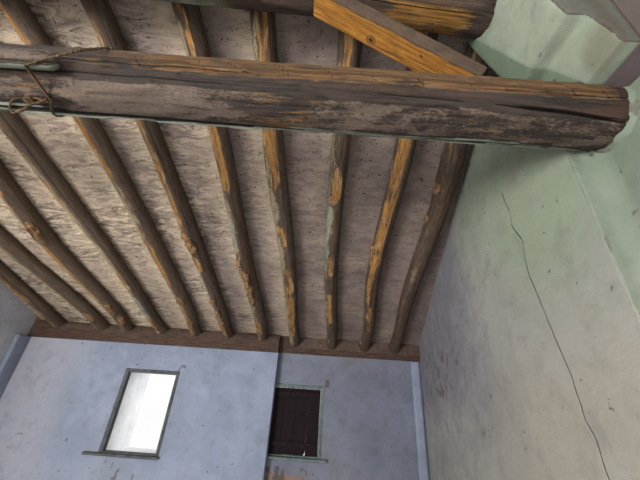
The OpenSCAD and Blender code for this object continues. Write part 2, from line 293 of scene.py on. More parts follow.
class Shade:
    """A procedural material that is put together from a few kinds of node."""

    def __init__(self, name, roughness=0.85):
        self.material = bpy.data.materials.new(name)
        self.material.use_nodes = True
        self.tree = self.material.node_tree
        self.surface = self.tree.nodes["Principled BSDF"]
        self.surface.inputs["Roughness"].default_value = roughness
        self.surface.inputs["Specular IOR Level"].default_value = 0.25
        self.here = self.add("TexCoord", {}).outputs["Object"]

    def add(self, kind, inputs, **settings):
        node = self.tree.nodes.new("ShaderNode" + kind)
        for key, value in settings.items():
            setattr(node, key, value)
        for key, value in inputs.items():
            if isinstance(value, bpy.types.NodeSocket):
                self.tree.links.new(value, node.inputs[key])
            else:
                node.inputs[key].default_value = value
        return node

    def value(self, name):
        return self.add("Attribute", {}, attribute_name=name).outputs["Fac"]

    def vector(self, name):
        return self.add("Attribute", {}, attribute_name=name).outputs["Vector"]

    def scaled(self, vector, scale):
        return self.add("VectorMath", {0: vector, 1: scale}, operation="MULTIPLY").outputs[0]

    def noise(self, scale, vector=None, detail=5.0, rough=0.6, twist=0.0):
        return self.add("TexNoise", {"Vector": vector or self.here, "Scale": scale, "Detail": detail,
                                     "Roughness": rough, "Distortion": twist}).outputs["Fac"]

    def stretched(self, vector, scale, detail=5.0, rough=0.6, twist=0.0):
        """Noise with a scale of its own along each axis of vector."""
        return self.noise(1.0, self.scaled(vector, scale), detail, rough, twist)

    def math(self, kind, a, b):
        return self.add("Math", {0: a, 1: b}, operation=kind).outputs[0]

    def product(self, a, b):
        return self.math("MULTIPLY", a, b)

    def mean(self, a, b):
        return self.product(self.math("ADD", a, b), 0.5)

    def total(self, *parts):
        """The sum of parts, each a value and its share."""
        whole = 0.0
        for value, share in parts:
            whole = self.math("ADD", whole, self.product(value, share))
        return whole

    def step(self, value, a, b):
        return self.add("MapRange", {"Value": value, "From Min": a, "From Max": b},
                        interpolation_type="SMOOTHSTEP").outputs[0]

    def ragged(self, mask, spread, grain, soft=0.06):
        """mask, with an edge that grain breaks up."""
        broken = self.product(self.math("SUBTRACT", grain, 0.5), spread)
        return self.step(self.math("ADD", mask, broken), 0.5 - soft, 0.5 + soft)

    def mix(self, fac, a, b):
        return self.add("Mix", {0: fac, 6: linear(a), 7: linear(b)}, data_type="RGBA").outputs[2]

    def over(self, colour, mask, amount, top):
        """colour with top laid over it, by amount where mask is 1."""
        return self.mix(self.product(mask, amount), colour, top)

    def ramp(self, fac, *stops):
        node = self.add("ValToRGB", {"Fac": fac})
        marks = node.color_ramp.elements
        while len(marks) < len(stops):
            marks.new(0.5)
        for mark, (place, colour) in zip(marks, stops):
            mark.position = place
            mark.color = linear(colour)
        return node.outputs["Color"]

    def finish(self, colour, height, distance, roughness=None):
        """The finished material; height is the relief, whose full depth is distance."""
        self.tree.links.new(colour, self.surface.inputs["Base Color"])
        bump = self.add("Bump", {"Height": height, "Distance": distance, "Strength": 1.0})
        self.tree.links.new(bump.outputs[0], self.surface.inputs["Normal"])
        if roughness is not None:
            self.tree.links.new(roughness, self.surface.inputs["Roughness"])
        return self.material


MUD = (146, 112, 78)


def log_wood(name, dark, light, fresh, white, rust):
    """Weathered log with hewn faces, whitewash, mud, cracks and green paint, by masks."""
    m = Shade(name)
    grain = m.vector("grain")
    streak = m.stretched(grain, (7.0, 130.0, 130.0), 7.0, 0.68)
    fibre = m.stretched(grain, (24.0, 520.0, 520.0), 4.0, 0.65)
    blotch = m.stretched(grain, (9.0, 26.0, 26.0), 6.0, 0.68)
    run = m.stretched(grain, (2.6, 48.0, 48.0))
    spot = m.stretched(grain, (70.0, 170.0, 170.0), 4.0, 0.7)
    edge = m.mean(streak, blotch)
    body = m.ramp(streak, (0.30, times(dark, 0.45)), (0.46, dark), (0.66, light))
    body = m.over(body, m.step(run, 0.50, 0.64), 0.55, rust)
    body = m.over(body, m.step(blotch, 0.47, 0.68), 0.7, times(dark, 0.5))
    body = m.over(body, m.value("tone"), 0.5, light)
    hewn = m.ramp(streak, (0.33, times(fresh, 0.42)), (0.43, times(fresh, 0.8)), (0.55, fresh),
                  (0.70, times(fresh, 1.25)))
    hewn = m.over(hewn, m.step(run, 0.50, 0.62), 0.55, times(fresh, 0.55))
    hewn = m.over(hewn, m.step(blotch, 0.53, 0.66), 0.55, white)
    colour = m.mix(m.ragged(m.value("fresh"), 3.2, edge, 0.22), body, hewn)
    washed = m.ragged(m.value("white"), 2.6, m.mean(blotch, m.mean(run, spot)), 0.14)
    wash = m.ramp(spot, (0.3, times(white, 0.66)), (0.65, white))
    wash = m.over(wash, m.step(run, 0.48, 0.62), 0.5, times(white, 0.7))
    colour = m.over(colour, washed, 0.8, wash)
    painted = m.ragged(m.value("green"), 1.4, edge, 0.12)
    paint = m.ramp(edge, (0.40, (98, 102, 90)), (0.58, (142, 148, 130)))
    colour = m.over(colour, painted, 0.85, paint)
    clay = m.ramp(spot, (0.34, times(MUD, 0.30)), (0.47, times(MUD, 0.80)), (0.62, times(MUD, 1.35)))
    clay = m.over(clay, m.step(blotch, 0.50, 0.60), 0.6, times(MUD, 0.5))
    colour = m.mix(m.ragged(m.value("mud"), 2.0, m.mean(spot, blotch)), colour, clay)
    pit = m.step(m.stretched(grain, (40.0, 85.0, 85.0), 3.0), 0.64, 0.70)
    colour = m.over(colour, pit, 0.8, (24, 18, 15))
    colour = m.mix(m.ragged(m.value("dark"), 0.6, streak, 0.16), colour, (20, 15, 12))
    height = m.total((m.mean(streak, run), 1.2), (fibre, 0.3), (m.math("SUBTRACT", washed, pit), 0.2),
                     (m.product(spot, m.value("mud")), 1.6))
    return m.finish(colour, height, 0.006, m.step(streak, -0.6, 0.9))


def plaster(name, low, high, stain):
    """Lime plaster: broad tints, peeled spots and stains by masks."""
    m = Shade(name, 0.9)
    broad = m.noise(1.6, detail=6.0, rough=0.65)
    medium = m.noise(9.0, detail=6.0, rough=0.62)
    fine = m.noise(70.0, rough=0.7)
    cloud = m.noise(4.0, detail=7.0, rough=0.7)
    colour = m.ramp(broad, (0.36, low), (0.62, high))
    for key in ("tint", "cool", "warm"):
        if key in stain:
            colour = m.over(colour, m.ragged(m.value(key), 0.8, medium, 0.45), 0.85, stain[key])
    colour = m.over(colour, m.step(medium, 0.46, 0.76), 0.35, times(low, 0.8))
    colour = m.over(colour, m.step(cloud, 0.5, 0.72), 0.3, times(high, 1.12))
    patch = m.ragged(m.value("peel"), 1.4, medium, 0.05)
    peeled = m.ramp(fine, (0.35, times(stain["peel"], 0.75)), (0.6, stain["peel"]))
    colour = m.over(colour, patch, 0.8, peeled)
    speck = m.step(m.noise(26.0, detail=3.0, rough=0.5), 0.69, 0.74)
    colour = m.over(colour, speck, 0.6, (52, 42, 36))
    colour = m.mix(m.ragged(m.value("dark"), 0.3, fine, 0.15), colour, (34, 28, 24))
    height = m.total((medium, 0.75), (fine, 0.25), (m.math("ADD", patch, speck), -0.15))
    return m.finish(colour, height, 0.006, m.step(medium, -0.9, 0.75))


def ceiling_lime():
    """Whitewashed mud, pressed against the reeds by hand: ridges, dirt flecks and smoke, with painted light
    on the lit part of each bay, painted highlights on the ridges and painted shade in their hollows.
    """
    m = Shade("ceiling_plaster", 0.9)
    grain = m.vector("grain")
    ripple = m.value("ripple")
    broad = m.noise(2.2, detail=6.0, rough=0.65)
    ridge = m.stretched(grain, (6.0, 20.0, 1.0), 2.6, 0.58, 1.3)
    medium = m.noise(22.0, detail=6.0, rough=0.68)
    fine = m.noise(110.0, rough=0.72)
    raised = m.product(m.step(ridge, 0.40, 0.62), ripple)
    hollow = m.product(m.step(ridge, 0.46, 0.34), ripple)
    mottle = m.product(m.step(medium, 0.50, 0.66), m.step(ripple, -0.5, 1.0))
    # Purple-brown painted shade, with cream painted light over it where the tint value is high.
    colour = m.ramp(broad, (0.36, (99, 87, 83)), (0.64, (130, 115, 108)))
    whitewash_and_painted_light = m.ragged(m.value("tint"), 0.9, m.mean(medium, ridge), 0.5)
    colour = m.mix(whitewash_and_painted_light, colour, (186, 167, 142))
    colour = m.over(colour, mottle, 0.6, (98, 80, 68))
    # Painted highlight on the ridges and painted shade in their hollows.
    colour = m.over(colour, raised, 0.45, (206, 188, 162))
    colour = m.over(colour, hollow, 0.6, (84, 68, 56))
    patch = m.ragged(m.value("peel"), 1.6, medium, 0.06)
    colour = m.over(colour, patch, 0.75, m.ramp(fine, (0.35, (60, 50, 44)), (0.6, (92, 76, 66))))
    flecks = 0.0
    for shift, scale in ((0.0, (26.0, 92.0, 1.0)), (5.3, (84.0, 38.0, 1.0)), (9.1, (50.0, 50.0, 1.0))):
        place = m.add("VectorMath", {0: m.scaled(grain, scale), 1: (shift,) * 3}, operation="ADD")
        fleck = m.step(m.noise(1.0, place.outputs[0], 2.0, 0.5, 0.6), 0.685, 0.71)
        flecks = m.math("MAXIMUM", flecks, fleck)
    colour = m.over(colour, flecks, 0.85, (40, 31, 27))
    colour = m.mix(m.ragged(m.value("dark"), 0.4, fine, 0.15), colour, (38, 30, 27))
    height = m.total((raised, 1.1), (medium, 0.5), (fine, 0.25), (m.math("ADD", patch, flecks), -0.25))
    return m.finish(colour, height, 0.010, m.step(medium, -0.9, 0.75))


def earth(name, low, high, straw):
    """Earth, as adobe, mud or filling: tints, straw and grit."""
    m = Shade(name, 0.95)
    broad = m.noise(2.5, detail=7.0)
    medium = m.noise(24.0, detail=6.0, rough=0.65)
    fine = m.noise(130.0, detail=4.0, rough=0.7)
    chaff = m.step(m.stretched(m.here, (260.0, 50.0, 170.0), 2.0, 0.5), 0.66, 0.72)
    colour = m.ramp(broad, (0.34, low), (0.66, high))
    colour = m.over(colour, m.step(medium, 0.42, 0.7), 0.5, times(low, 0.78))
    colour = m.over(colour, chaff, straw, (196, 168, 112))
    colour = m.over(colour, m.step(fine, 0.6, 0.8), 0.35, (62, 46, 34))
    return m.finish(colour, m.total((medium, 0.6), (fine, 0.4)), 0.008, m.step(fine, -1.2, 0.8))


def board(name, dark, light, paint=None, worn=0.5):
    """Sawn timber along its grain value, bare or with worn paint."""
    m = Shade(name, 0.7)
    grain = m.vector("grain")
    streak = m.stretched(grain, (7.0, 120.0, 120.0), 6.0, 0.65)
    fine = m.stretched(grain, (22.0, 600.0, 600.0), 4.0)
    blotch = m.noise(14.0, grain, rough=0.65)
    colour = m.ramp(streak, (0.28, times(dark, 0.6)), (0.46, dark), (0.68, light))
    colour = m.over(colour, m.step(blotch, 0.5, 0.8), 0.45, times(dark, 0.65))
    height = m.total((streak, 0.6), (fine, 0.4))
    if paint:
        cloudy = m.mean(blotch, streak)
        kept = m.math("SUBTRACT", 1.0, m.ragged(m.value("worn"), 1.6 * worn, cloudy, 0.04))
        coat = m.ramp(cloudy, (0.38, times(paint, 0.68)), (0.60, times(paint, 1.08)))
        colour = m.mix(kept, colour, coat)
        height = m.total((height, 0.6), (kept, 0.4))
    colour = m.mix(m.ragged(m.value("dark"), 0.5, streak, 0.12), colour, (26, 19, 15))
    return m.finish(colour, height, 0.003, m.step(streak, -0.9, 0.9))


def outer_mud():
    """Mud plaster with adobe blocks where it has fallen, by masks."""
    m = Shade("outer_mud", 0.95)
    broad = m.noise(1.6, detail=7.0)
    medium = m.noise(20.0, detail=6.0, rough=0.65)
    fine = m.noise(120.0, detail=4.0)
    coat = m.ramp(broad, (0.35, (158, 132, 102)), (0.65, (184, 160, 128)))
    block = m.ramp(m.noise(5.0), (0.35, (124, 98, 74)), (0.65, (154, 126, 97)))
    straw = m.step(m.stretched(m.here, (160.0, 160.0, 60.0), 2.0), 0.66, 0.72)
    colour = m.mix(m.ragged(m.value("bare"), 0.5, medium), coat, block)
    colour = m.over(colour, m.value("joint"), 0.6, (104, 84, 64))
    colour = m.over(colour, straw, 0.6, (202, 178, 126))
    colour = m.over(colour, m.step(medium, 0.5, 0.75), 0.4, (120, 94, 70))
    return m.finish(colour, m.total((medium, 0.6), (fine, 0.4)), 0.008, m.step(fine, -1.2, 0.8))


def fired_clay():
    """Old roof tiles, each with its own tone, with dirt and lichen."""
    m = Shade("fired_clay", 0.8)
    blotch = m.noise(7.0, detail=6.0)
    fine = m.noise(90.0)
    lichen = m.noise(16.0, detail=7.0, rough=0.7)
    colour = m.ramp(m.value("fired"), (0.0, (132, 84, 62)), (0.35, (158, 106, 80)), (0.7, (170, 124, 96)),
                    (1.0, (186, 148, 118)))
    colour = m.over(colour, m.step(blotch, 0.44, 0.66), 0.75, (98, 84, 74))
    colour = m.over(colour, m.step(lichen, 0.54, 0.66), 0.7, (146, 142, 124))
    colour = m.over(colour, m.step(fine, 0.58, 0.72), 0.5, (84, 70, 60))
    return m.finish(colour, m.total((blotch, 0.4), (fine, 0.6)), 0.004, m.step(blotch, -1.0, 0.7))


def nail_iron():
    """Rusty iron."""
    m = Shade("nail_iron", 0.6)
    m.surface.inputs["Metallic"].default_value = 0.6
    rust = m.noise(600.0)
    return m.finish(m.ramp(rust, (0.35, (60, 38, 28)), (0.65, (96, 76, 66))), rust, 0.0008)


rafter_wood = log_wood("rafter_wood", dark=(58, 48, 41), light=(102, 86, 71), fresh=(160, 115, 62),
                       white=(168, 154, 124), rust=(104, 68, 42))
beam_wood = log_wood("beam_wood", dark=(37, 31, 28), light=(66, 55, 47), fresh=(100, 72, 42),
                     white=(114, 98, 85), rust=(76, 53, 38))
ridge_wood = log_wood("ridge_wood", dark=(52, 42, 38), light=(86, 70, 58), fresh=(140, 100, 46),
                      white=(124, 120, 98), rust=(92, 66, 44))
# Its warm stain is a lighter lilac; at the left end it is painted light.
far_plaster = plaster("far_plaster", (120, 128, 146), (141, 149, 168),
                      {"tint": (138, 142, 150), "warm": (164, 163, 172), "peel": (106, 94, 88)})
left_lime = plaster("left_wall_plaster", (166, 166, 174), (188, 188, 196),
                    {"tint": (170, 176, 172), "peel": (120, 108, 102)})
# Near white: partly painted light from the bright opening.
reveal_plaster = plaster("reveal_plaster", (216, 218, 220), (232, 234, 236),
                         {"tint": (216, 216, 212), "peel": (160, 150, 140)})
# Darker than the far plaster: partly painted shade on the far wall's right part.
recess_plaster = plaster("recess_plaster", (98, 101, 114), (118, 121, 136),
                         {"tint": (122, 122, 124), "warm": (142, 108, 82), "peel": (90, 78, 72)})
gable_plaster = plaster("gable_plaster", (136, 134, 131), (158, 155, 148),
                        {"tint": (138, 150, 126), "cool": (122, 118, 128), "warm": (156, 150, 137),
                         "peel": (112, 100, 96)})
recess_side = plaster("recess_side_plaster", (112, 118, 106), (130, 136, 122),
                      {"tint": (116, 127, 109), "warm": (150, 156, 144), "peel": (104, 98, 90)})
haunch_plaster = plaster("haunch_plaster", (122, 130, 114), (142, 150, 132),
                         {"tint": (98, 112, 92), "warm": (112, 110, 92), "peel": (66, 57, 50)})
# Dark plaster for the faces towards the open side and the ledge's underside: painted shade.
jog_plaster = plaster("jog_plaster", (76, 67, 62), (92, 81, 75),
                      {"tint": (88, 80, 72), "warm": (98, 86, 87), "peel": (66, 57, 50)})
ceiling_plaster = ceiling_lime()
band_mud = earth("band_mud", (70, 56, 50), (100, 82, 72), 0.2)
adobe_earth = earth("adobe_earth", (146, 116, 86), (178, 148, 112), 0.7)
filling_earth = earth("filling_earth", (110, 86, 66), (142, 114, 88), 0.5)
wall_mud = outer_mud()
plate_timber = board("plate_timber", (66, 50, 42), (100, 78, 64))
lintel_timber = board("lintel_timber", (84, 68, 54), (118, 98, 80))
# Its dark coat on the side towards the open side is painted shade.
brace_timber = board("brace_timber", (130, 86, 32), (172, 120, 50), (76, 61, 47), 0.4)
frame_paint = board("frame_paint", (70, 62, 54), (100, 90, 80), (106, 118, 115), 0.6)
sill_paint = board("sill_paint", (66, 58, 52), (96, 86, 77), (88, 90, 92), 0.9)
shutter_paint = board("shutter_paint", (34, 23, 22), (50, 36, 33), (26, 14, 20), 0.4)
reed_skin = board("reed_skin", (150, 122, 78), (188, 160, 108))
withe_bark = board("withe_bark", (74, 56, 36), (108, 86, 56))

# Rafters, from the right. Lengths in millimetres, as in the solids: x of the centre line at
# the foot and at the ridge, bow, crook and its phase in degrees, and radius half way up. White
# is the share of whitewash.
Rafter = namedtuple("Rafter", "foot ridge bow crook phase radius white")
RAFTERS = [Rafter(*row) for row in (
    (2045, 1915, 5, 20, 110, 70, 0.0), (1685, 1630, -25, 22, 65, 66, 0.0),
    (1290, 1262, -50, 5, 50, 62, 0.22), (850, 790, 0, 10, 245, 68, 0.35),
    (460, 405, 20, 14, 45, 66, 0.35), (45, -70, 40, 4, 20, 64, 0.30),
    (-345, -530, 95, 12, 40, 66, 0.50), (-765, -1040, 40, 9, 270, 62, 0.60),
    (-1190, -1330, -50, 30, 30, 68, 0.55), (-1495, -1930, -60, 30, 30, 64, 0.60),
    (-2050, -2250, -10, 8, 60, 66, 0.40))]
# Way up the slope to a rafter's lower end, its upper end, and where it comes out of the wall
S0, S1, TAIL = slope_s(2.13), slope_s(ROOF_END_Y), slope_s(1.38)

# Hewn faces: from s to s, angle round the log, share of the radius that is left
HEWN = [
    [(2.2, 3.3, -60, 0.93)],
    [(1.45, 3.35, -62, 0.80), (0.38, 0.86, -84, 0.90)],
    [(2.1, 2.36, -88, 0.86), (1.28, 1.52, -84, 0.88), (0.5, 1.02, -80, 0.88), (2.75, 3.3, -70, 0.86)],
    [(2.2, 2.72, -86, 0.82), (1.6, 1.86, -80, 0.88), (1.0, 1.36, -82, 0.85), (0.2, 0.96, -86, 0.9),
     (2.75, 3.35, -95, 0.88)],
    [(2.15, 3.3, -76, 0.88), (0.1, 0.7, -78, 0.9)],
    [(1.22, 1.42, -70, 0.86), (1.8, 3.2, -62, 0.90), (0.1, 0.5, -72, 0.88)],
    [(1.0, 1.56, -66, 0.86), (0.1, 0.72, -70, 0.88), (2.2, 3.3, -70, 0.88)],
    [(0.1, 0.6, -72, 0.9), (1.2, 2.2, -74, 0.88), (2.7, 3.3, -60, 0.9)],
    [(0.4, 1.5, -80, 0.86), (2.0, 2.9, -70, 0.9)],
    [(0.5, 1.2, -78, 0.88), (1.7, 2.6, -75, 0.88)],
    [(0.3, 1.0, -84, 0.88), (1.6, 2.9, -80, 0.9)]]
# Knots and stubs: s, angle, width, height
KNOTS = [
    [(1.42, -30, 0.035, 0.016), (2.3, -95, 0.03, 0.008)],
    [(1.62, -8, 0.03, 0.022), (0.95, -60, 0.025, 0.008)],
    [(2.1, -30, 0.022, 0.010), (2.04, -125, 0.024, 0.012), (0.4, -50, 0.03, 0.008)],
    [(0.9, -120, 0.03, 0.012), (1.9, -60, 0.02, 0.006)],
    [(2.4, -120, 0.03, 0.010)],
    [(2.2, -100, 0.03, 0.010), (0.9, -130, 0.03, 0.010)],
    [(1.9, -120, 0.035, 0.012)],
    [(0.9, -110, 0.03, 0.012), (1.7, -80, 0.025, 0.008)],
    [(1.7, -110, 0.035, 0.012)],
    [(0.8, -100, 0.03, 0.010)],
    [(0.7, -100, 0.03, 0.010)]]
# Broken mud that clings to the side, by rafter: s, angle, length, height
LUMPS = {
    0: [(2.22, -8, 0.05, 0.012), (1.95, 4, 0.05, 0.010)],
    1: [(0.1, -20, 0.05, 0.008), (1.6, -10, 0.06, 0.014)],
    2: [(2.1, -60, 0.05, 0.012)],
    4: [(1.36, -50, 0.09, 0.026), (1.20, -74, 0.13, 0.034), (1.02, -80, 0.12, 0.028),
        (0.84, -74, 0.12, 0.016)],
    5: [(1.66, -66, 0.10, 0.028), (1.54, -84, 0.07, 0.020), (0.75, -70, 0.10, 0.024),
        (0.55, -78, 0.12, 0.026), (0.36, -76, 0.10, 0.018), (0.18, -80, 0.08, 0.014)],
    6: [(0.75, -84, 0.08, 0.016), (0.35, -90, 0.13, 0.020), (0.15, -90, 0.06, 0.014)],
    7: [(0.2, -90, 0.08, 0.014)],
    8: [(1.62, -112, 0.15, 0.028), (0.52, -112, 0.15, 0.030), (0.28, -125, 0.12, 0.022)],
    9: [(0.35, -110, 0.1, 0.014)]}
# Middle of the side that is seen, and how much fresh wood shows along its lit edge; that strip is partly
# painted highlight
SEEN = [-67, -76, -88, -101, -112, -122, -131, -138, -143, -147, -151]
STRIP = [0.15, 0.35, 0.15, 0.60, 0.55, 0.30, 1.0, 0.95, 0.70, 0.50, 0.80]
# Where green-grey paint is left, by rafter: from s to s
GREEN = {2: (1.2, 2.2), 4: (1.45, 2.0), 7: (0.3, 0.9)}
UNPAINTED = (9.0, 9.1)  # beyond the end of every rafter


def above_wall(s):
    """0 in the wall, where a rafter is round and straight, and 1 where it is crooked."""
    return ease(s, TAIL, TAIL + 0.4)


def rafter_x(k, s):
    """X of a rafter's centre line."""
    p = RAFTERS[k]
    t = s / S1
    bent = p.bow * np.sin(pi * t) + p.crook * np.sin(3 * pi * t + math.radians(p.phase))
    return (p.foot + (p.ridge - p.foot) * t + above_wall(s) * bent) / 1000


def rafter_rad(k, s):
    """A rafter's radius, which is also how far its middle lies below the ceiling."""
    p = RAFTERS[k]
    t = np.maximum(0, s / S1)
    swell = (p.radius / 1000 - RAFTER_R) * np.sin(pi * t)
    wave = 0.0025 * np.sin(5 * pi * t + math.radians(p.phase)) * (1 - t)
    return RAFTER_R + above_wall(s) * (swell + wave)


def ring_angles(paths, columns):
    """Angles of a ring with extra points beside each path, so that a crack follows it."""
    close = np.radians([-4.5, -1.6, 0, 1.6, 4.5])
    parts = []
    for i, path in enumerate(paths):
        after = paths[(i + 1) % len(paths)] + (2 * pi if i == len(paths) - 1 else 0)
        span = np.linspace(0, 1, columns[i] + 2)[1:-1]
        a, b = path + close[-1], after + close[0]
        parts += [path[:, None] + close, a[:, None] + (b - a)[:, None] * span]
    return np.concatenate(parts, 1)


def flat_limit(turn, cut, least):
    """Radius of a flat face cut from the axis, at turn from its middle while cos(turn) > least."""
    facing = np.cos(turn)
    return np.where(facing > least, cut / np.maximum(facing, least), 1.0)


def hewn_faces(k, s, a, r):
    """Cuts a rafter's hewn faces, and gives the fresh wood that they lay bare."""
    fresh = np.zeros_like(r)
    for s0, s1, angle, left in HEWN[k]:
        turn = near(a - math.radians(angle) - 0.12 * wander(s * 2.2, k * 1.9, 3.1, 2))
        past_end = 1 - window(s, s0, s1, 0.05)
        share = left + 0.2 * past_end + 0.03 * wander(s * 9, a * 2, k * 1.7)
        limit = flat_limit(turn, share * r.mean(), 0.2)
        bare = np.clip((r - limit) / 0.0045 + 0.25, 0, 1) * (np.cos(turn) > 0.2)
        fresh = np.maximum(fresh, 0.92 * bare)
        r = np.minimum(r, limit)
    return r, fresh


def fresh_wood_and_painted_highlight(k, s, a):
    """Fresh wood along a rafter's lit edge, partly painted highlight."""
    sway = near(a - math.radians(SEEN[k] + 56) - 0.30 * wander(s * 2.6, k * 4.3, 1.7))
    wide = (0.38 if k > 5 else 0.26) + 0.20 * wander(s * 3.1, k * 2.9, 8.7)
    line = 1 - ease(np.abs(sway), wide * 0.4, wide * 1.5)
    return line * STRIP[k] * (0.62 + 0.9 * wander(s * 2.0, k * 6.1, 5.5))


def rafter_knots(k, s, a, r):
    """Adds a rafter's knots, and gives their dark rings and middles."""
    dark = np.zeros_like(r)
    for s0, angle, width, height in KNOTS[k]:
        d = np.sqrt((s - s0)**2 + (near(a - math.radians(angle)) * 0.06)**2 * 1.3) / width
        r = r + height * np.exp(-d**2 * 1.8) - 0.4 * height * np.exp(-(d * 3)**2)
        dark = np.maximum(dark, 0.62 * np.exp(-(d * 2.4)**2) + 0.45 * np.exp(-((d - 0.75) * 6)**2))
    return r, dark


def rafter_lumps(k, s, a, r):
    """Adds the mud that clings to a rafter, and gives where it is."""
    mud = np.zeros_like(r)
    for s0, angle, length, height in LUMPS.get(k, []):
        d = np.sqrt(((s - s0) / length)**2 + (near(a - math.radians(angle)) / 0.7)**2)
        d = d + 0.55 * fbm(on_log(s * 16, a, 1.6), 1.0, 3, k * 2.3)
        mass = 1 - ease(d, 0.45, 1.05)
        r = r + mass * height * (0.40 + 1.5 * np.abs(wander(s * 30, a * 3.6, k * 1.3, 4)))
        mud = np.maximum(mud, mass)
    return r, mud


def rafter_whitewash_and_highlight(k, s, a):
    """Whitewash on a rafter: on its side towards the ceiling and along its outer edge. Both lie on the lit
    side and are partly painted highlight.
    """
    side = math.radians(-40 if k > 0 else -55)
    white = RAFTERS[k].white + 0.30 + 0.5 * wander(s * 1.6, np.cos(a), np.sin(a) + k * 4.1)
    white = white - 1.05 * (1 - np.cos(near(a - side)))
    outer = 1 - ease(np.abs(near(a - math.radians(SEEN[k] + 74))), 0.12, 0.42)
    white = np.maximum(white, outer * (0.35 + 0.04 * k + 0.8 * wander(s * 2.4, k * 1.3, 6.6)))
    return white * window(s, 0.0, 3.2, 0.1)


def rafter(k):
    """One crooked rafter with an open crack along its underside."""
    phase = RAFTERS[k].phase
    s = np.concatenate([np.linspace(S0, TAIL, 28), np.linspace(TAIL, S1, 178)[1:]])
    crack = np.radians(-105 + 25 * math.sin(k * 2.4) + 16 * wander(s * 1.3, k * 3.3, 0.5))
    a = ring_angles([crack], [38])
    s = s[:, None]
    g = above_wall(s)
    r = rafter_rad(k, s) * (1 + 0.06 * g * np.sin(2 * a + np.radians(phase + s * 1000 / 9)))
    r = r + 0.0045 * fbm(on_log(s * 3.0, a, 1.1), 2.2, 4, k * 5.1)
    r = r + 0.0030 * fbm(on_log(s * 1.2, a, 4.5), 1.5, 3, k * 2.7)
    r, fresh = hewn_faces(k, s, a, r)
    fresh = np.maximum(fresh, fresh_wood_and_painted_highlight(k, s, a))
    fresh = fresh * (0.78 + 0.85 * fbm(on_log(s * 7, a, 2.2), 1.0, 4, k * 3.7))
    r, dark = rafter_knots(k, s, a, r)
    r, mud = rafter_lumps(k, s, a, r)
    deep = 0.012 * ease(wander(s * 1.7, k * 7.7, 1.0, 2), -0.25, 0.2) * g
    off = np.abs(near(a - crack[:, None]))
    r = r - deep * (off < 0.01) - 0.12 * deep * (off < 0.04)
    # The open crack is painted near black: painted shade inside it.
    dark = np.maximum(dark, (off < 0.01) * (deep > 0.002))
    lit = window(near(a), math.radians(SEEN[k] + 20), math.radians(SEEN[k] + 100), 0.3)
    rings = on_slope(rafter_x(k, s) - r * np.cos(a), s, np.minimum(0, r * np.sin(a) - rafter_rad(k, s)))
    node = "rafter_%02d" % (k + 1)
    # tone lightens every rafter a little and the left ones more; for the left ones it is painted light.
    ringed(node + "_log", rings, rafter_wood, "rafter_wood", node, {
        "grain": stack(s + k * 5.0, a * 0.06, k * 1.7), "fresh": fresh, "mud": mud, "dark": dark,
        "white": rafter_whitewash_and_highlight(k, s, a) * (1 - 0.6 * fresh) * (1 - mud), "tone": 0.3 + 0.5 * (k > 5),
        "green": 0.62 * window(s, *GREEN.get(k, UNPAINTED), 0.2) * lit})


for k in range(len(RAFTERS)):
    rafter(k)

# Logs along X: radii, ends in the walls, and where the haunch and the gable begin
BEAM_R, RIDGE_R, POLE_R = 0.107, 0.115, 0.04
LOG_X0, LOG_X1 = -2.59, 2.37
HAUNCH_X, GABLE_X = 1.86, 2.065


def between(a, b, x):
    """A straight line with a at the left wall and b at the gable."""
    return a + (b - a) * (x + HALF_W) / (GABLE_X + HALF_W)


def beam_mid(x):
    """Centre line of the main beam."""
    return stack(x, RIDGE_Y + between(-0.04, 0.116, x), 2.533)


def ridge_mid(x):
    """Centre line of the ridge log, just under the rafters."""
    t = np.clip((x + HALF_W) / (HAUNCH_X + HALF_W), 0, 1)
    y = RIDGE_Y + between(-0.02, 0.065, x) - 0.08 * np.sin(pi * t)
    return stack(x, y, slope_z(y, -2 * RAFTER_R) - RIDGE_R / COS)


def pole_rad(x):
    """The pole gets thinner towards its cut end."""
    return POLE_R * (1 - 0.3 * ease(x, -0.6, 0.33))


def pole_mid(x):
    """Centre line of the pole, which touches the beam below its front."""
    away = (BEAM_R + pole_rad(x) + 0.003)[..., None]
    lean = math.radians(29)
    return beam_mid(x) - away * np.array([0, math.cos(lean), math.sin(lean)])


def in_view(x, x0, x1):
    """0 in the walls and 1 in the room."""
    return ease(x, x0, x0 + 0.15) * (1 - ease(x, x1 - 0.15, x1))


def log_round(a, x, rough, phase):
    """How far a log is from round."""
    phase = math.radians(phase)
    return 1 + rough * (0.5 * np.sin(3 * a + phase + np.radians(x * 1000 / 7))
                        + 0.5 * np.sin(5 * a - np.radians(x * 200) + 2 * phase))


def log_rings(mid, x, a, r):
    """Rings of a log along X, round its centre line."""
    return mid(x + a * 0) + r[..., None] * on_log(0, a)


def log_bumps(wood, lumps, flutes, scale, octaves, seed):
    """Relief of a log: lumps, and flutes along it."""
    return (lumps * fbm(wood * [scale, 1.3, 1.3], 2.0, octaves, seed)
            + flutes * fbm(wood * [0.6, 5, 5], 1.6, octaves - 1, seed + 5))


def hewn_flats(r, x, a, radius, angles, seed):
    """Cuts short flats into a log, as an adze leaves them, and gives each a tone."""
    rng = np.random.default_rng(seed)
    tone = np.zeros_like(r)
    for angle in angles:
        start = -HALF_W
        while start < 2.1:
            length = rng.uniform(0.10, 0.26)
            lean = rng.normal(0, 0.5) * (x - start)
            turn = near(a - math.radians(angle + rng.normal(0, 4)) - lean)
            past_end = 1 - window(x + 0.03 * np.sin(a * 9), start, start + length, 0.018)
            limit = flat_limit(turn, radius * (rng.uniform(0.93, 0.985) + 0.3 * past_end), 0.5)
            tone = np.where(limit < r - 0.0006, rng.random(), tone)
            r = np.minimum(r, limit)
            start += length * rng.uniform(0.6, 0.95)
    return r, tone


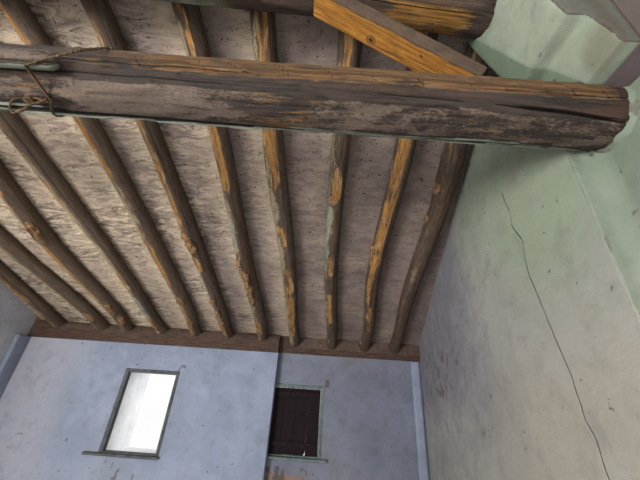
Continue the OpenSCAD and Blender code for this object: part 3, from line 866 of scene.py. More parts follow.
# Short grooves across the front of the main beam: x, lean
GROOVES = ((0.50, 0.07), (0.72, 0.05), (0.80, 0.10), (0.96, 0.09), (1.13, 0.06), (1.22, 0.11), (1.40, 0.08),
           (1.55, 0.10), (1.68, 0.07), (1.80, 0.10), (1.90, 0.08), (1.99, 0.10), (2.07, 0.06))


def main_beam():
    """The hewn main beam: fresh wood above, lime below, grooves, and three long splits."""
    x = np.concatenate([np.linspace(LOG_X0, -0.1, 110)[:-1], np.linspace(-0.1, 2.2, 345),
                        [2.26, 2.32, LOG_X1]])
    sway = wander(x * 2.2, 0.3, 4.4, 4)
    check = np.interp(x, [-2.6, 1.5, 1.74, 1.96, 2.18, 2.4], [214, 217, 220, 226, 237, 240])
    check = np.radians(check + 3 * sway)
    upper = np.radians(190 + 8 * wander(x * 1.5, 7.3, 1.4))
    lip = np.radians(np.interp(x, [-2.6, 0, 1.1, 1.7, 2.2], [290, 290, 300, 300, 308]) + 4 * sway)
    a = ring_angles([upper, check, lip], [8, 19, 38])
    x, sway = x[:, None], sway[:, None]
    g = in_view(x, -HALF_W, 2.19)
    swell = 1 + 0.03 * np.sin(np.radians(x * 100) + pi / 6)
    r = BEAM_R * (1 - g + g * swell) * log_round(a, x, 0.05 * g, 30)
    wood = on_log(x, a)
    flats, tone = hewn_flats(r, x, a, BEAM_R * 1.02, (166, 196, 222, 248, 276, 318, 20, 60, 100, 135), 4)
    tone = tone * g
    r = r + g * (flats - r) + g * log_bumps(wood, 0.003, 0.0022, 2.5, 5, 3.0)

    # Bands round the beam: fresh wood above top_edge, dark bark down to bark, lime below
    chop = wander(x * 7, a * 3.0, 5.5)
    deg = np.degrees(a) % 360
    bark = 226 + 9 * wander(x * 2.6, 2.2, 9.4, 4) + 5 * ease(x, 0.2, 1.6)
    top_edge = 203 + 7 * wander(x * 3.2, 6.2, 0.4, 4) - 6 * ease(x, 1.3, 2.1)
    upper_band = window(deg, 100, top_edge, 4)
    low_band = ease(deg, bark - 1.5, bark + 1.5) * (1 - ease(deg, 296, 304))
    fresh = upper_band * (0.30 + 0.62 * window(x, 0.55, 2.3, 0.25)) * (0.80 + 0.45 * chop)
    low_fresh = 0.20 + 0.30 * window(x, 0.9, 1.15, 0.1) + 0.15 * (1 - ease(x, -1.0, 0.6)) + 0.5 * chop
    fresh = np.maximum(fresh, low_band * low_fresh)
    white = low_band * (0.26 + 0.26 * ease(x, 0.1, 0.9) + 0.42 * tone + 0.35 * chop)
    white = white + upper_band * (0.12 + 0.20 * (1 - ease(x, 0.3, 0.8)))
    white = white + 0.25 * window(x, 0.30, 0.72, 0.06) * window(deg, 205, 300, 8)
    white = white + 0.5 * window(deg, 120, 312, 10) * ease(x, 2.05 + 0.04 * chop, 2.14 + 0.04 * chop)
    r = r + g * 0.0022 * (1 - low_band) * window(deg, top_edge, bark, 3)
    dark = 0.36 * window(deg, top_edge, bark, 4) * (0.8 + 0.7 * chop)

    across = (deg - 152) / 48
    for x0, lean in GROOVES:
        off = np.abs(x - x0 - lean * across - 0.02 * chop)
        groove = (1 - ease(off, 0.0008, 0.0055)) * window(across, 0.05, 0.95, 0.12)
        r = r - 0.0022 * groove
        # The grooves are painted dark: painted shade in them.
        dark = np.maximum(dark, 0.75 * groove)

    # Splits: path, depth, share of the depth beside it, and the depth at which that part is dark. The dark
    # in the splits is painted shade.
    check_deep = 0.016 * ease(x, 1.66, 1.85) + 0.006 * ease(wander(x * 2, 3.3, 0.2, 2), 0.0, 0.3) * (x < 1.6)
    upper_deep = 0.007 * ease(wander(x * 1.6, 8.8, 2.2, 2), -0.1, 0.25)
    lip_deep = 0.015 * (0.6 + 0.4 * ease(sway, -0.5, 0.2))
    for path, deep, wide, dark_at in (
            (check, check_deep * g, 0.6, 0.020), (upper, upper_deep * g, 0.1, None),
            (lip, lip_deep * g, 0.9, 0.006)):
        off = np.abs(near(a - path[:, None]))
        r = r - deep * (off < 0.01) - wide * deep * (off > 0.01) * (off < 0.04)
        dark = np.maximum(dark, (off < 0.01) * (deep > 0.002))
        if dark_at:
            dark = np.maximum(dark, (off < 0.04) * 0.9 * ease(deep, 0.004, dark_at))

    # Paint on the lip beyond the lowest split, and broken paint before it. The dark line between the split
    # and the paint is painted shade.
    beyond = near(a - lip[:, None])
    far_side = (beyond > 0.06) & (beyond < 0.1)
    r = r - 0.5 * lip_deep * g * far_side
    dark = np.maximum(dark, 0.95 * far_side * g)
    green = window(beyond, 0.11, 0.62, 0.03) * g
    r = r + 0.005 * green
    broken = ease(wander(x * 2.4, 6.0, 1.0), -0.2, 0.2)
    green = np.maximum(green, 0.7 * window(beyond, -0.20, -0.03, 0.04) * broken)
    white = white * g * (1 - 0.6 * np.clip(fresh, 0, 1)) * (1 - green)
    ringed("main_beam_log", log_rings(beam_mid, x, a, r), beam_wood, "beam_wood", "main_beam", {
        "grain": stack(x, a * 0.1, 2.0), "fresh": fresh * g, "white": white, "dark": dark, "green": green,
        "tone": tone})


def ridge_beam():
    """The ridge log, with fresh wood beside the haunch and paint on its underside."""
    x = np.linspace(LOG_X0, LOG_X1, 210)
    crack = np.radians(262 + 10 * wander(x * 1.2, 2.3, 6.4))
    a = ring_angles([crack], [58])
    x = x[:, None]
    g = in_view(x, -HALF_W, 1.8)
    wood = on_log(x, a)
    r = RIDGE_R * log_round(a, x, 0.04 * g, 120)
    r = r + g * log_bumps(wood, 0.005, 0.003, 2.2, 5, 13.0)
    flats, tone = hewn_flats(r, x, a, RIDGE_R * 1.01, (215, 245, 275, 305, 335, 20, 60, 100, 150, 185), 9)
    r = r + g * (flats - r)
    low = window(a, math.radians(225), math.radians(330), 0.15)
    fresh = low * window(x, 1.38, 1.82, 0.07) * (0.75 + 0.8 * wander(x * 8, a * 3, 1.1))
    fresh = np.maximum(fresh, 0.5 * low * (0.4 + wander(x * 3, a * 2, 9.1)) * window(x, -2.2, 0.4, 0.2))
    limit = flat_limit(near(a - math.radians(278)), 0.93 * RIDGE_R, 0.3)
    r = np.where(window(x, 1.4, 1.8, 0.05) > 0.5, np.minimum(r, limit), r)
    off = np.abs(near(a - crack[:, None]))
    deep = 0.010 * g * ease(wander(x * 1.4, 5.8, 2.2, 2), -0.3, 0.1)
    r = r - deep * (off < 0.01)
    white = 0.75 * window(x, -2.3, 0.72, 0.12) + 0.18
    white = white * window(a, math.radians(200), math.radians(335), 0.2)
    white = (white + 0.4 * fbm(wood * [3, 2, 2], 1.2, 4, 4.0)) * g * (1 - np.clip(fresh, 0, 1))
    # The crack is painted dark: painted shade inside it.
    ringed("ridge_beam_log", log_rings(ridge_mid, x, a, r), ridge_wood, "beam_wood", "ridge_beam", {
        "grain": stack(x + 9, a * 0.1, 5.0), "fresh": fresh * g, "white": white, "tone": tone * g,
        "dark": (off < 0.01) * (deep > 0.002), "green": 0.55 * window(x, -1.6, 0.7, 0.1) * low})


def lashed_pole():
    """The thin pole beside the beam, with a rounded cut end."""
    x = np.concatenate([np.linspace(LOG_X0, 0.31, 150), [0.322, 0.33, 0.334]])
    crack = np.radians(250 + 12 * wander(x * 1.4, 2.9, 6.1))
    a = ring_angles([crack], [30])
    x = x[:, None]
    g = ease(x, -HALF_W, -HALF_W + 0.15)
    wood = on_log(x, a)
    r = pole_rad(x) * log_round(a, x, 0.03 * g, 60)
    r = r + g * log_bumps(wood, 0.002, 0.001, 3, 4, 23.0)
    r = r * np.sqrt(np.clip(1 - ((x - 0.305) / 0.032).clip(0)**2, 0.05, 1))
    off = np.abs(near(a - crack[:, None]))
    deep = 0.005 * g * ease(wander(x * 1.7, 4.8, 2.2, 2), -0.2, 0.1) * (x < 0.3)
    r = r - deep * (off < 0.01)
    green = 0.7 * window(a, math.radians(262), math.radians(330), 0.15) * g
    # The crack is painted dark, painted shade inside it; the cut end is darker too.
    ringed("lashed_pole_log", log_rings(pole_mid, x, a, r), beam_wood, "beam_wood", "lashed_pole", {
        "grain": stack(x + 17, a * 0.04, 7.0), "green": green,
        "white": (0.62 + 0.4 * fbm(wood * [3, 2, 2], 1.0, 4, 7.0)) * (1 - green),
        "dark": np.maximum((off < 0.01) * (deep > 0.001), 0.42 * ease(x, 0.27, 0.33))})


main_beam()
ridge_beam()
lashed_pole()


# The lashing
def cane(points, radius, bumps, seed):
    """Points and faces of a knobbly round stick along points."""
    ahead = np.gradient(points, axis=0)
    ahead /= np.linalg.norm(ahead, axis=1, keepdims=True)
    side = np.cross(ahead, [0.12, 0.31, 0.94])
    side /= np.linalg.norm(side, axis=1, keepdims=True)
    up = np.cross(side, ahead)
    a = np.arange(7) * 2 * pi / 7
    radius = np.broadcast_to(radius, len(points))[:, None]
    radius = radius * (1 + bumps * noise(stack(points[:, :1] * 60, a * 1.5, seed)))
    round_it = np.cos(a)[:, None] * side[:, None] + np.sin(a)[:, None] * up[:, None]
    return closed(points[:, None] + radius[..., None] * round_it)


def lashing():
    """A twisted withe round the beam and the pole, with a knot, a small loop and a tail."""
    turns = np.linspace(0, 2 * pi, 160)
    x = 0.30 + 0.12 * np.cos(turns - math.radians(150))
    out = on_log(0, turns)
    b, q = beam_mid(x), pole_mid(x)
    reach_b = (b * out).sum(1) + BEAM_R + 0.006
    reach_p = (q * out).sum(1) + pole_rad(x) + 0.006
    on_beam = b + out * (BEAM_R + 0.006)
    on_pole = q + out * (pole_rad(x) + 0.005)[:, None]
    core = np.where((reach_b > reach_p)[:, None], on_beam, on_pole)
    core = core + 0.0022 * stack(noise(stack(turns * 6, 0.2, 3.3)), noise(stack(turns * 6, 4.2, 3.3)), 0.0)
    parts = []
    for phase in (0, pi):
        twist = (turns * 15 + phase)[:, None]
        strand = core + 0.0019 * (np.cos(twist) * out + np.sin(twist) * np.array([1.0, 0, 0]))
        parts.append(cane(strand, 0.0026, 0.25, phase))

    # The knot hangs under the beam, round the point start
    down = math.radians(262)
    start = beam_mid(np.array(0.19)) + np.array([0, math.cos(down), math.sin(down)]) * (BEAM_R + 0.010)
    u = np.linspace(0, 1, 60)
    coil = stack(0.012 * np.sin(7 * pi * u) - 0.010, 0.008 * np.cos(7 * pi * u), -0.016 * u + 0.010)
    parts.append(cane(start + coil, 0.0038, 0.3, 2.0))
    angle = np.linspace(0.25, 2 * pi - 0.1, 50)
    loop = stack(-0.026 + 0.030 * np.sin(angle) - 0.006 * np.cos(angle), 0.006 * np.sin(2 * angle),
                 -0.036 + 0.032 * np.cos(angle))
    u = u[::2]
    cross = stack(-0.030 + 0.090 * u, 0.004 * np.sin(9 * u), 0.004 * np.sin(5 * u) - 0.002)
    parts.append(cane(start + cross, 0.0030 + 0.0008 * np.sin(12 * u), 0.3, 6.0))
    parts.append(cane(start + loop, 0.0031 + 0.0006 * np.sin(angle * 3), 0.3, 3.0))
    tail = stack(0.052 - 0.045 * u + 0.008 * np.sin(u * 9), -0.004 - 0.010 * u, -0.004 - 0.074 * u)
    parts.append(cane(start + tail, 0.0040 + 0.0012 * noise(stack(u * 9, 0.5, 0.5)), 0.4, 4.0))
    curl = stack(-0.012 - 0.026 * u, 0.004 * np.sin(4 * u), 0.014 + 0.014 * np.sin(3.6 * u))
    parts.append(cane(start + curl, 0.0030 - 0.001 * u, 0.3, 5.0))
    verts, faces = join(parts)
    piece("lashing_withe", verts, faces, withe_bark, "beam_wood", values={"grain": verts[:, (1, 0, 2)]})


lashing()


# Sawn and hewn bars
def bar(a, b, up, width, height, edge, rough, fine, seed=0.0, bow=0.0, ends=0.0, notch=None):
    """Rings and grain of a timber from a to b; height is measured towards up, width across."""
    a, b, up = (np.asarray(v, float) for v in (a, b, up))
    length = np.linalg.norm(b - a)
    ahead = (b - a) / length
    side = np.cross(ahead, up)
    side /= np.linalg.norm(side)
    up = np.cross(side, ahead)
    w, h = width / 2, height / 2
    tw = np.linspace(-1, 1, max(2, int(width / fine)) + 1)
    th = np.linspace(-1, 1, max(2, int(height / fine)) + 1)
    flat_w, flat_h = tw * (w - edge), th * (h - edge)
    outline = np.concatenate([stack(flat_w, -h), stack(w, flat_h),
                              stack(flat_w[::-1], h), stack(-w, flat_h[::-1])])
    count = max(3, int(length / fine / 1.5))
    rim = edge / length
    t = np.concatenate([[0, rim], np.linspace(0, 1, count + 1)[1:-1], [1 - rim, 1]])[:, None]
    shrink = np.ones_like(t)
    shrink[[0, -1]] = 1 - 2 * edge / max(width, height)
    place = t * length
    u, v = outline[:, 0] * shrink, outline[:, 1] * shrink
    wood = stack(place + seed * 3.1, u * 9, v * 9)
    lift = rough * fbm(wood * 2.5, 1.0, 4, seed) + 0.7 * rough * fbm(wood * [8, 3, 3], 1.0, 3, seed + 4)
    norm = np.sqrt((u / w)**2 + (v / h)**2) + 1e-6
    u2 = u + lift * (u / w) / norm
    v2 = v + lift * (v / h) / norm + bow * np.sin(pi * t)
    along = place + ends * wander(u * 60, v * 60, seed) * ((t < 0.02) | (t > 0.98))
    if notch is not None:
        u2, v2, along = notch(u2, v2, along)
    rings = a + along[..., None] * ahead + u2[..., None] * side + v2[..., None] * up
    return rings, stack(place + seed * 1.7, u + seed, v)


def bars(name, parts, material, slot, replaces=(), dark=None, worn=0.35):
    """Several bars as one piece."""
    grain = np.concatenate([with_ends(grain) for _, grain in parts])
    verts, faces = join([closed(rings) for rings, _ in parts])
    values = {"grain": grain}
    if dark:
        values["dark"] = dark(verts, grain)
    values["worn"] = (worn(verts, grain) if callable(worn) else worn) + 0.25 * fbm(verts, 9.0, 3, 2.0)
    return piece(name, verts, faces, material, slot, replaces, values, 50)


def brace_marks(verts, grain):
    """Knots on the brace's side: s, place across, size."""
    dark = np.zeros(len(verts))
    for s, across, size in ((0.285, -0.022, 0.019), (0.50, 0.014, 0.007)):
        d = np.hypot((grain[:, 0] - s) / 1.3, grain[:, 1] - across) / size
        dark = np.maximum(dark, 0.50 * np.exp(-((d - 0.8) * 2.6)**2) + 0.75 * np.exp(-(d * 2.4)**2))
    return dark


def brace_side_painted_shade(verts, grain):
    """Sawn faces are fresh; the side towards the open side keeps a dark coat, which is painted shade."""
    return 1.15 - 1.5 * ease(grain[:, 1] + 0.004 * fbm(verts, 30.0, 3, 1.0), 0.040, 0.046)


def brace():
    """Sawn timber, wedged between the ridge log and the main beam."""
    width, height = 0.1, 0.06
    top, foot = np.array([1.08, -1.775, 3.02]), np.array([1.69, -1.695, 2.632])
    up = np.cross(foot - top, [0.13, 1, 0])
    up *= np.sign(up[2]) / np.linalg.norm(up)
    mid = up * height / 2
    timber = bar(top + mid, foot + mid, up, width, height, 0.003, 0.0016, 0.005)
    bars("brace_timber", [timber], brace_timber, "sawn_wood", ["brace"], brace_marks, brace_side_painted_shade)


def plate(side, x0, x1, y0, y1, z0, z1, seed):
    """A wall plate: a rough timber from y0 to y1, under the slope of the rafters."""
    x = np.linspace(x0, x1, int((x1 - x0) / 0.014))[:, None]
    drop = -2 * RAFTER_R
    corners = [(y0, z0), (y0, slope_z(y0, drop)), (y1, slope_z(y1, drop)), (y1, z1)]
    t = np.linspace(0, 1, 9)[:-1]
    outline = np.concatenate([stack(ya + (yb - ya) * t, za + (zb - za) * t)
                              for (ya, za), (yb, zb) in zip(corners, corners[1:] + corners[:1])])[None]
    y, z = outline[..., 0], outline[..., 1]
    mid = outline.mean(1, keepdims=True)
    reach = np.linalg.norm(outline - mid, axis=-1)
    wood = stack(x * 2.0, y * 16, z * 16)
    lift = 0.005 * fbm(wood, 1.0, 5, seed) + 0.004 * fbm(wood * [4, 1, 1], 1.0, 3, seed + 5) - 0.002
    bite = 0.010 * ease(fbm(stack(x * 7, y * 9, z * 9), octaves=2, seed=seed), 0.15, 0.5)
    lift = lift - bite * (z < z0 + 0.03) * (y < y0 + 0.03)
    spread = outline + (outline - mid) / reach[..., None] * lift[..., None]
    rings = stack(x, spread[..., 0], spread[..., 1])
    ringed("plate_timber_" + side, rings, plate_timber, "plate_wood", "wall_plate_" + side, {
        "grain": stack(x + seed, y, z),
        "dark": 0.5 * ease(fbm(wood * [1.5, 2, 2], 1.0, 3, seed + 2), 0.2, 0.6)}, 60)


brace()
plate("left", -2.348, LEAF_X - 0.004, 1.291, 1.421, LEAF_H + 0.001, EAVE_H, 1.0)
plate("right", LEAF_X, 2.344, 1.401, 1.511, EAVE_H + 0.001, EAVE_H, 2.0)


# Ceiling: whitewashed mud on reeds that lie along X
def ceiling_part(side, x0, x1, columns, rows):
    """A part of the ceiling from x0 to x1. The mud is rippled, and thicker beside the rafters."""
    x = np.linspace(x0, x1, columns)[None, :]
    s = np.linspace(0.006, S1 - 0.006, rows)[:, None]
    logs = np.stack([rafter_x(k, s) + 0 * x for k in range(len(RAFTERS))])
    to_rafter = np.abs(x - logs).min(0)
    ahead = np.where(logs > x, logs - x, 9.0).min(0)
    flat = stack(x, s, 0.0)
    ripple = 0.22 + 0.78 * (1 - ease(x + 0.25 * fbm(flat, 1.5, 2, 4.0), -0.35, 0.75))
    warp = flat + 0.05 * stack(fbm(flat, 5.0, 3, 1.0), fbm(flat, 5.0, 3, 2.0), 0.0)
    press = noise(warp * [5.5, 21, 1] + 3.0) + 0.65 * noise(warp * [12, 37, 1] + 7.0)
    press = press + 0.2 * noise(warp * [34, 78, 1])
    worked = 0.25 + 1.05 * ease(fbm(flat, 2.4, 3, 6.0), -0.15, 0.25)
    chips = ease(fbm(flat * [22, 30, 1], 1.0, 3, 15.0), 0.42, 0.6)
    lift = 0.0095 + 0.0056 * ripple * press * worked
    lift = lift + 0.0034 * fbm(flat, 5.0, 4, 3.0) * (0.6 + 0.6 * ripple) + 0.0016 * fbm(flat, 30.0, 3, 8.0)
    beside = np.exp(-((to_rafter - 0.045) / 0.020).clip(0))
    lift = lift + 0.010 * beside * (0.6 + 0.5 * fbm(flat, 12.0, 3, 1.0))
    lift = lift - 0.004 * chips
    # Painted light: cream on the part of each bay next to the rafter on its right and at the left end, less
    # towards the right; elsewhere the ceiling keeps its purple-brown painted shade.
    whitewash_and_painted_light = 0.8 * ease(-ahead, -0.30, -0.06) * (1 - ease(x, 0.5, 1.4) * 0.75)
    whitewash_and_painted_light = whitewash_and_painted_light + 0.55 * (1 - ease(x, -1.0, 0.5))
    values = {"tint": whitewash_and_painted_light * 0.9 + 0.25 * fbm(flat, 5.0, 4, 5.0), "grain": flat, "dark": chips * 0.45,
              "peel": 0.12 + 0.3 * chips + 0.2 * fbm(flat, 3.0, 3, 7.0),
              "ripple": ripple * (0.25 + 0.65 * worked)}
    base = on_slope(x, s, 0.0)
    skin("ceiling_skin_" + side, base, (0, -SIN, -COS), lift, ceiling_plaster, "ceiling_plaster", values)


def mud_band():
    """Mud between the rafters, over the plates."""
    x = np.linspace(-HALF_W + 0.002, HALF_W - 0.002, 330)[None, :]
    t = np.linspace(0, 1, 16)[:, None]
    over_leaf = (x < LEAF_X) * 1.0
    low = WALL_Y + 0.004 - 0.098 * over_leaf
    high = WALL_Y + 0.008 - 0.030 * over_leaf
    y = low + (high - low) * t**1.4
    base = stack(x, y, slope_z(y, -0.123 + 0.118 * t))
    lift = 0.006 + 0.006 * fbm(base, 16.0, 4, 3.0) + 0.004 * fbm(base, 50.0, 3, 6.0)
    skin("mud_band", base, (0, -0.94, -0.34), lift, band_mud, "mud_fill", {})


CEILING_SPLIT = 0.12
ceiling_part("left", -HALF_W + 0.002, CEILING_SPLIT, 116, 500)
ceiling_part("right", CEILING_SPLIT - 0.001, HALF_W - 0.002, 96, 330)
mud_band()


# Wall plaster
def line_with(a, b, step, marks=()):
    """Numbers from a to b about step apart that include marks."""
    stops = [a] + sorted(marks) + [b]
    parts = [np.linspace(p, q, max(2, int(round((q - p) / step)) + 1))[:-1]
             for p, q in zip(stops, stops[1:])]
    return np.concatenate(parts + [[b]])


def hole_drop(x0, x1, z0, z1):
    """A test for faces that lie in a hole."""
    def inside(middle):
        return (middle[:, 0] > x0) & (middle[:, 0] < x1) & (middle[:, 2] > z0) & (middle[:, 2] < z1)
    return inside


def hole_gap(p, x0, x1, z0, z1):
    """Distance outside a hole."""
    dx = np.maximum(np.maximum(x0 - p[..., 0], p[..., 0] - x1), 0)
    dz = np.maximum(np.maximum(z0 - p[..., 2], p[..., 2] - z1), 0)
    return np.hypot(dx, dz)


def soft_lift(p, amount, seed):
    """Height of hand-made plaster over its wall."""
    return (amount + amount * 0.8 * fbm(p, 2.6, 3, seed) + 0.0012 * fbm(p, 14.0, 4, seed + 3)
            + 0.0005 * fbm(p, 60.0, 2, seed + 6))


def lime(name, p, out, thick, seed, material, tint, peel, warm=0.0, drop=None):
    """A plain skin of lime. Tint and peel are each a level, how uneven it is, and a scale."""
    values = {"tint": tint[0] + tint[1] * fbm(p, tint[2], 3, 7.0),
              "peel": peel[0] + peel[1] * fbm(p, peel[2], 4, 6.0), "warm": warm}
    skin(name, p, out, soft_lift(p, thick, seed), material, "lime_plaster", values, drop)


def left_end_painted_light(p):
    """Lighter lime at the left end, which is painted light, and low on the inner leaf."""
    return 0.95 * (1 - ease(p[..., 0], -2.1, -1.2)) + 0.3 * window(p[..., 2], 0.0, 0.9, 0.4)


def right_warm(p):
    """A warm patch under the shuttered window."""
    low = 1 - ease(p[..., 2] + 0.06 * fbm(p, 9.0, 3, 1.0), 0.84, 0.97)
    return 0.95 * window(p[..., 0], 0.66, 1.15, 0.05) * low


def eave_plaster(side, x0, x1, y, top, hole, seed, material, warm):
    """Plaster of the eave wall, with drips under the window and a worn patch at its corner."""
    marks = [v for v in hole[:2] if v > x0]
    p = stack(line_with(x0, x1, 0.021, marks)[None], y, line_with(0.001, top, 0.021, hole[2:])[:, None])
    x, z = p[..., 0], p[..., 2]
    lift = soft_lift(p, 0.004, seed) * ease(hole_gap(p, *hole), 0.0, 0.014)
    below = window(x, hole[0] - 0.02, hole[1] + 0.03, 0.03) * window(z, hole[2] - 0.22, hole[2] - 0.03, 0.05)
    drips = 0.9 * below * (0.45 + 0.8 * fbm(p * [34, 1, 3], 1.0, 3, 2.0))
    corner = window(x, hole[1] - 0.04, hole[1] + 0.06, 0.02)
    corner = corner * window(z, hole[3] - 0.02, hole[3] + 0.08, 0.02)
    wear = 0.10 + 0.22 * fbm(p, 3.0, 4, 8.0 + seed) + 0.55 * drips + 0.5 * corner
    values = {"tint": 0.28 + 0.4 * fbm(p, 1.3, 3, 4.0), "peel": wear, "dark": 0.32 * drips,
              "warm": warm(p) + 0.2 * fbm(p, 2.0, 3, 3.0)}
    skin("far_plaster_" + side, p, (0, -1, 0), lift, material, "lime_plaster", values, hole_drop(*hole))


def reveal(side, hole, y):
    """Plaster on the four sides of a window hole, from y outwards."""
    ys = line_with(y, OUTER_Y - 0.001, 0.02)
    for fixed, part, out in ((0, "side_a", 1), (1, "side_b", -1), (2, "sill", 1), (3, "head", -1)):
        if fixed < 2:
            p = stack(hole[fixed], ys[None], line_with(hole[2] + 0.001, hole[3] - 0.001, 0.02)[:, None])
            way = (out, 0, 0)
        else:
            p = stack(line_with(hole[0] + 0.001, hole[1] - 0.001, 0.02)[None], ys[:, None], hole[fixed])
            way = (0, 0, out)
        lime("reveal_%s_%s" % (side, part), p, way, 0.003, 51.0 + fixed, reveal_plaster, (0.1, 0.0, 1.0),
             (0.1, 0.2, 5.0))


def leaf_edge():
    """The inner leaf's edge beside the shuttered window."""
    y, z = line_with(LEAF_Y + 0.001, WALL_Y - 0.001, 0.012), line_with(0.001, LEAF_H - 0.001, 0.02)
    p = stack(LEAF_X, y[None], z[:, None])
    lime("leaf_edge", p, (1, 0, 0), 0.003, 61.0, far_plaster, (0.3, 0.0, 1.0), (0.1, 0.25, 5.0))


eave_plaster("left", -HALF_W + 0.001, LEAF_X - 0.001, LEAF_Y, LEAF_H - 0.001, HOLE_L, 0.0,
             far_plaster, left_end_painted_light)
eave_plaster("right", LEAF_X + 0.001, HALF_W - 0.001, WALL_Y, EAVE_H - 0.001, HOLE_R, 5.0,
             recess_plaster, right_warm)
reveal("left", HOLE_L, LEAF_Y + 0.061)
reveal("right", HOLE_R, WALL_Y + 0.061)
leaf_edge()

# The gable's long crack: z and y
CRACK_Z, CRACK_Y = zip(
    (0.3, -1.29), (0.6, -1.27), (0.9, -1.28), (1.2, -1.25), (1.442, -1.263), (1.542, -1.257), (1.596, -1.24),
    (1.733, -1.234), (1.802, -1.219), (1.895, -1.205), (2.022, -1.181), (2.126, -1.164), (2.235, -1.168),
    (2.30, -1.19), (2.408, -1.143), (2.489, -1.152), (2.597, -1.131), (3.2, -1.12))


def gable():
    """The gable with its long crack. Columns of points follow the crack."""
    v = np.linspace(0, 1, 165)[:, None]
    mark = -1.2
    beside = np.array([-0.016, -0.008, -0.0048, -0.0026, 0.0, 0.0026, 0.0048, 0.008, 0.016])
    gy = np.concatenate([np.linspace(1.399, mark + 0.03, 116), (mark + beside)[::-1],
                         np.linspace(mark - 0.03, -1.564, 19)])[None, :]
    off = np.abs(gy - mark)
    y = gy + 0 * v
    for _ in range(2):
        z = 0.001 + (slope_z(y, -0.002) - 0.001) * v
        path = np.interp(z, CRACK_Z, CRACK_Y) + 0.010 * wander(z * 13, 0.5, 0.5)
        y = gy + (path - mark) * (1 - ease(off, 0.04, 0.30))
    p = stack(np.interp(-y, [-1.401, 0.9, 1.565], [2.35, 2.095, 2.065]), y, z)
    strength = window(z, 0.45, 2.62, 0.12)
    lift = soft_lift(p, 0.005, 11.0)
    lift = lift + 0.0012 * (gy < mark) * (1 - ease(off, 0.0, 0.2)) * strength
    lift = np.where(off < 0.003, lift - 0.004 * strength, lift)
    soft = 0.25 * (0.55 + 0.45 * ease(wander(z * 3, 0.5, 7.5), -0.3, 0.3))
    # The crack and a thin band beside it are painted dark: painted shade in the crack.
    crack = np.where(off < 0.001, 1.0, np.where(off < 0.003, 0.9, soft * (off < 0.006)))
    crack = crack * ease(strength, 0.3, 0.7)
    corner_peel = window(y, -0.3, 1.1, 0.15) * window(z, 1.65, 2.2, 0.12) * (0.5 + 0.6 * fbm(p, 7.0, 4, 3.0))
    top_dirt = ease(z - slope_z(y, 0), -0.16, -0.02) * (0.5 + 0.9 * fbm(p, 14.0, 4, 5.0))
    wear = 0.08 + 0.22 * fbm(p, 2.6, 4, 9.0) + 0.55 * corner_peel + 0.35 * top_dirt
    lift = lift - 0.0022 * ease(wear, 0.4, 0.55)
    greener = 1.1 * np.exp(-(((y + 1.30) / 0.34)**2 + ((z - 2.45) / 0.42)**2))
    greener = greener + 0.12 + 0.35 * fbm(p, 1.1, 3, 2.0) + 0.5 * ease(z, 2.0, 2.9)
    cooler = 0.9 * ease(y, -0.95, 0.1) * ease(z, 1.2, 2.0) + 0.35 * fbm(p, 2.0, 4, 12.0)
    warmer = 0.95 * (1 - ease(z, 1.5, 2.3)) * (1 - ease(y, -1.1, -0.2)) + 0.35 * fbm(p, 1.7, 3, 14.0)
    values = {"tint": greener, "cool": cooler, "warm": warmer, "peel": wear, "dark": crack}
    skin("gable_plaster_skin", p, (-1, 0.08, 0), lift, gable_plaster, "lime_plaster", values)


gable()

# The recess under the beams, and the jog beside the pilaster
REC_Y0, REC_Y1, REC_X0, REC_X1, REC_Z = -1.565, -1.91, 2.065, 2.15, 2.566
JOG_X = 2.262


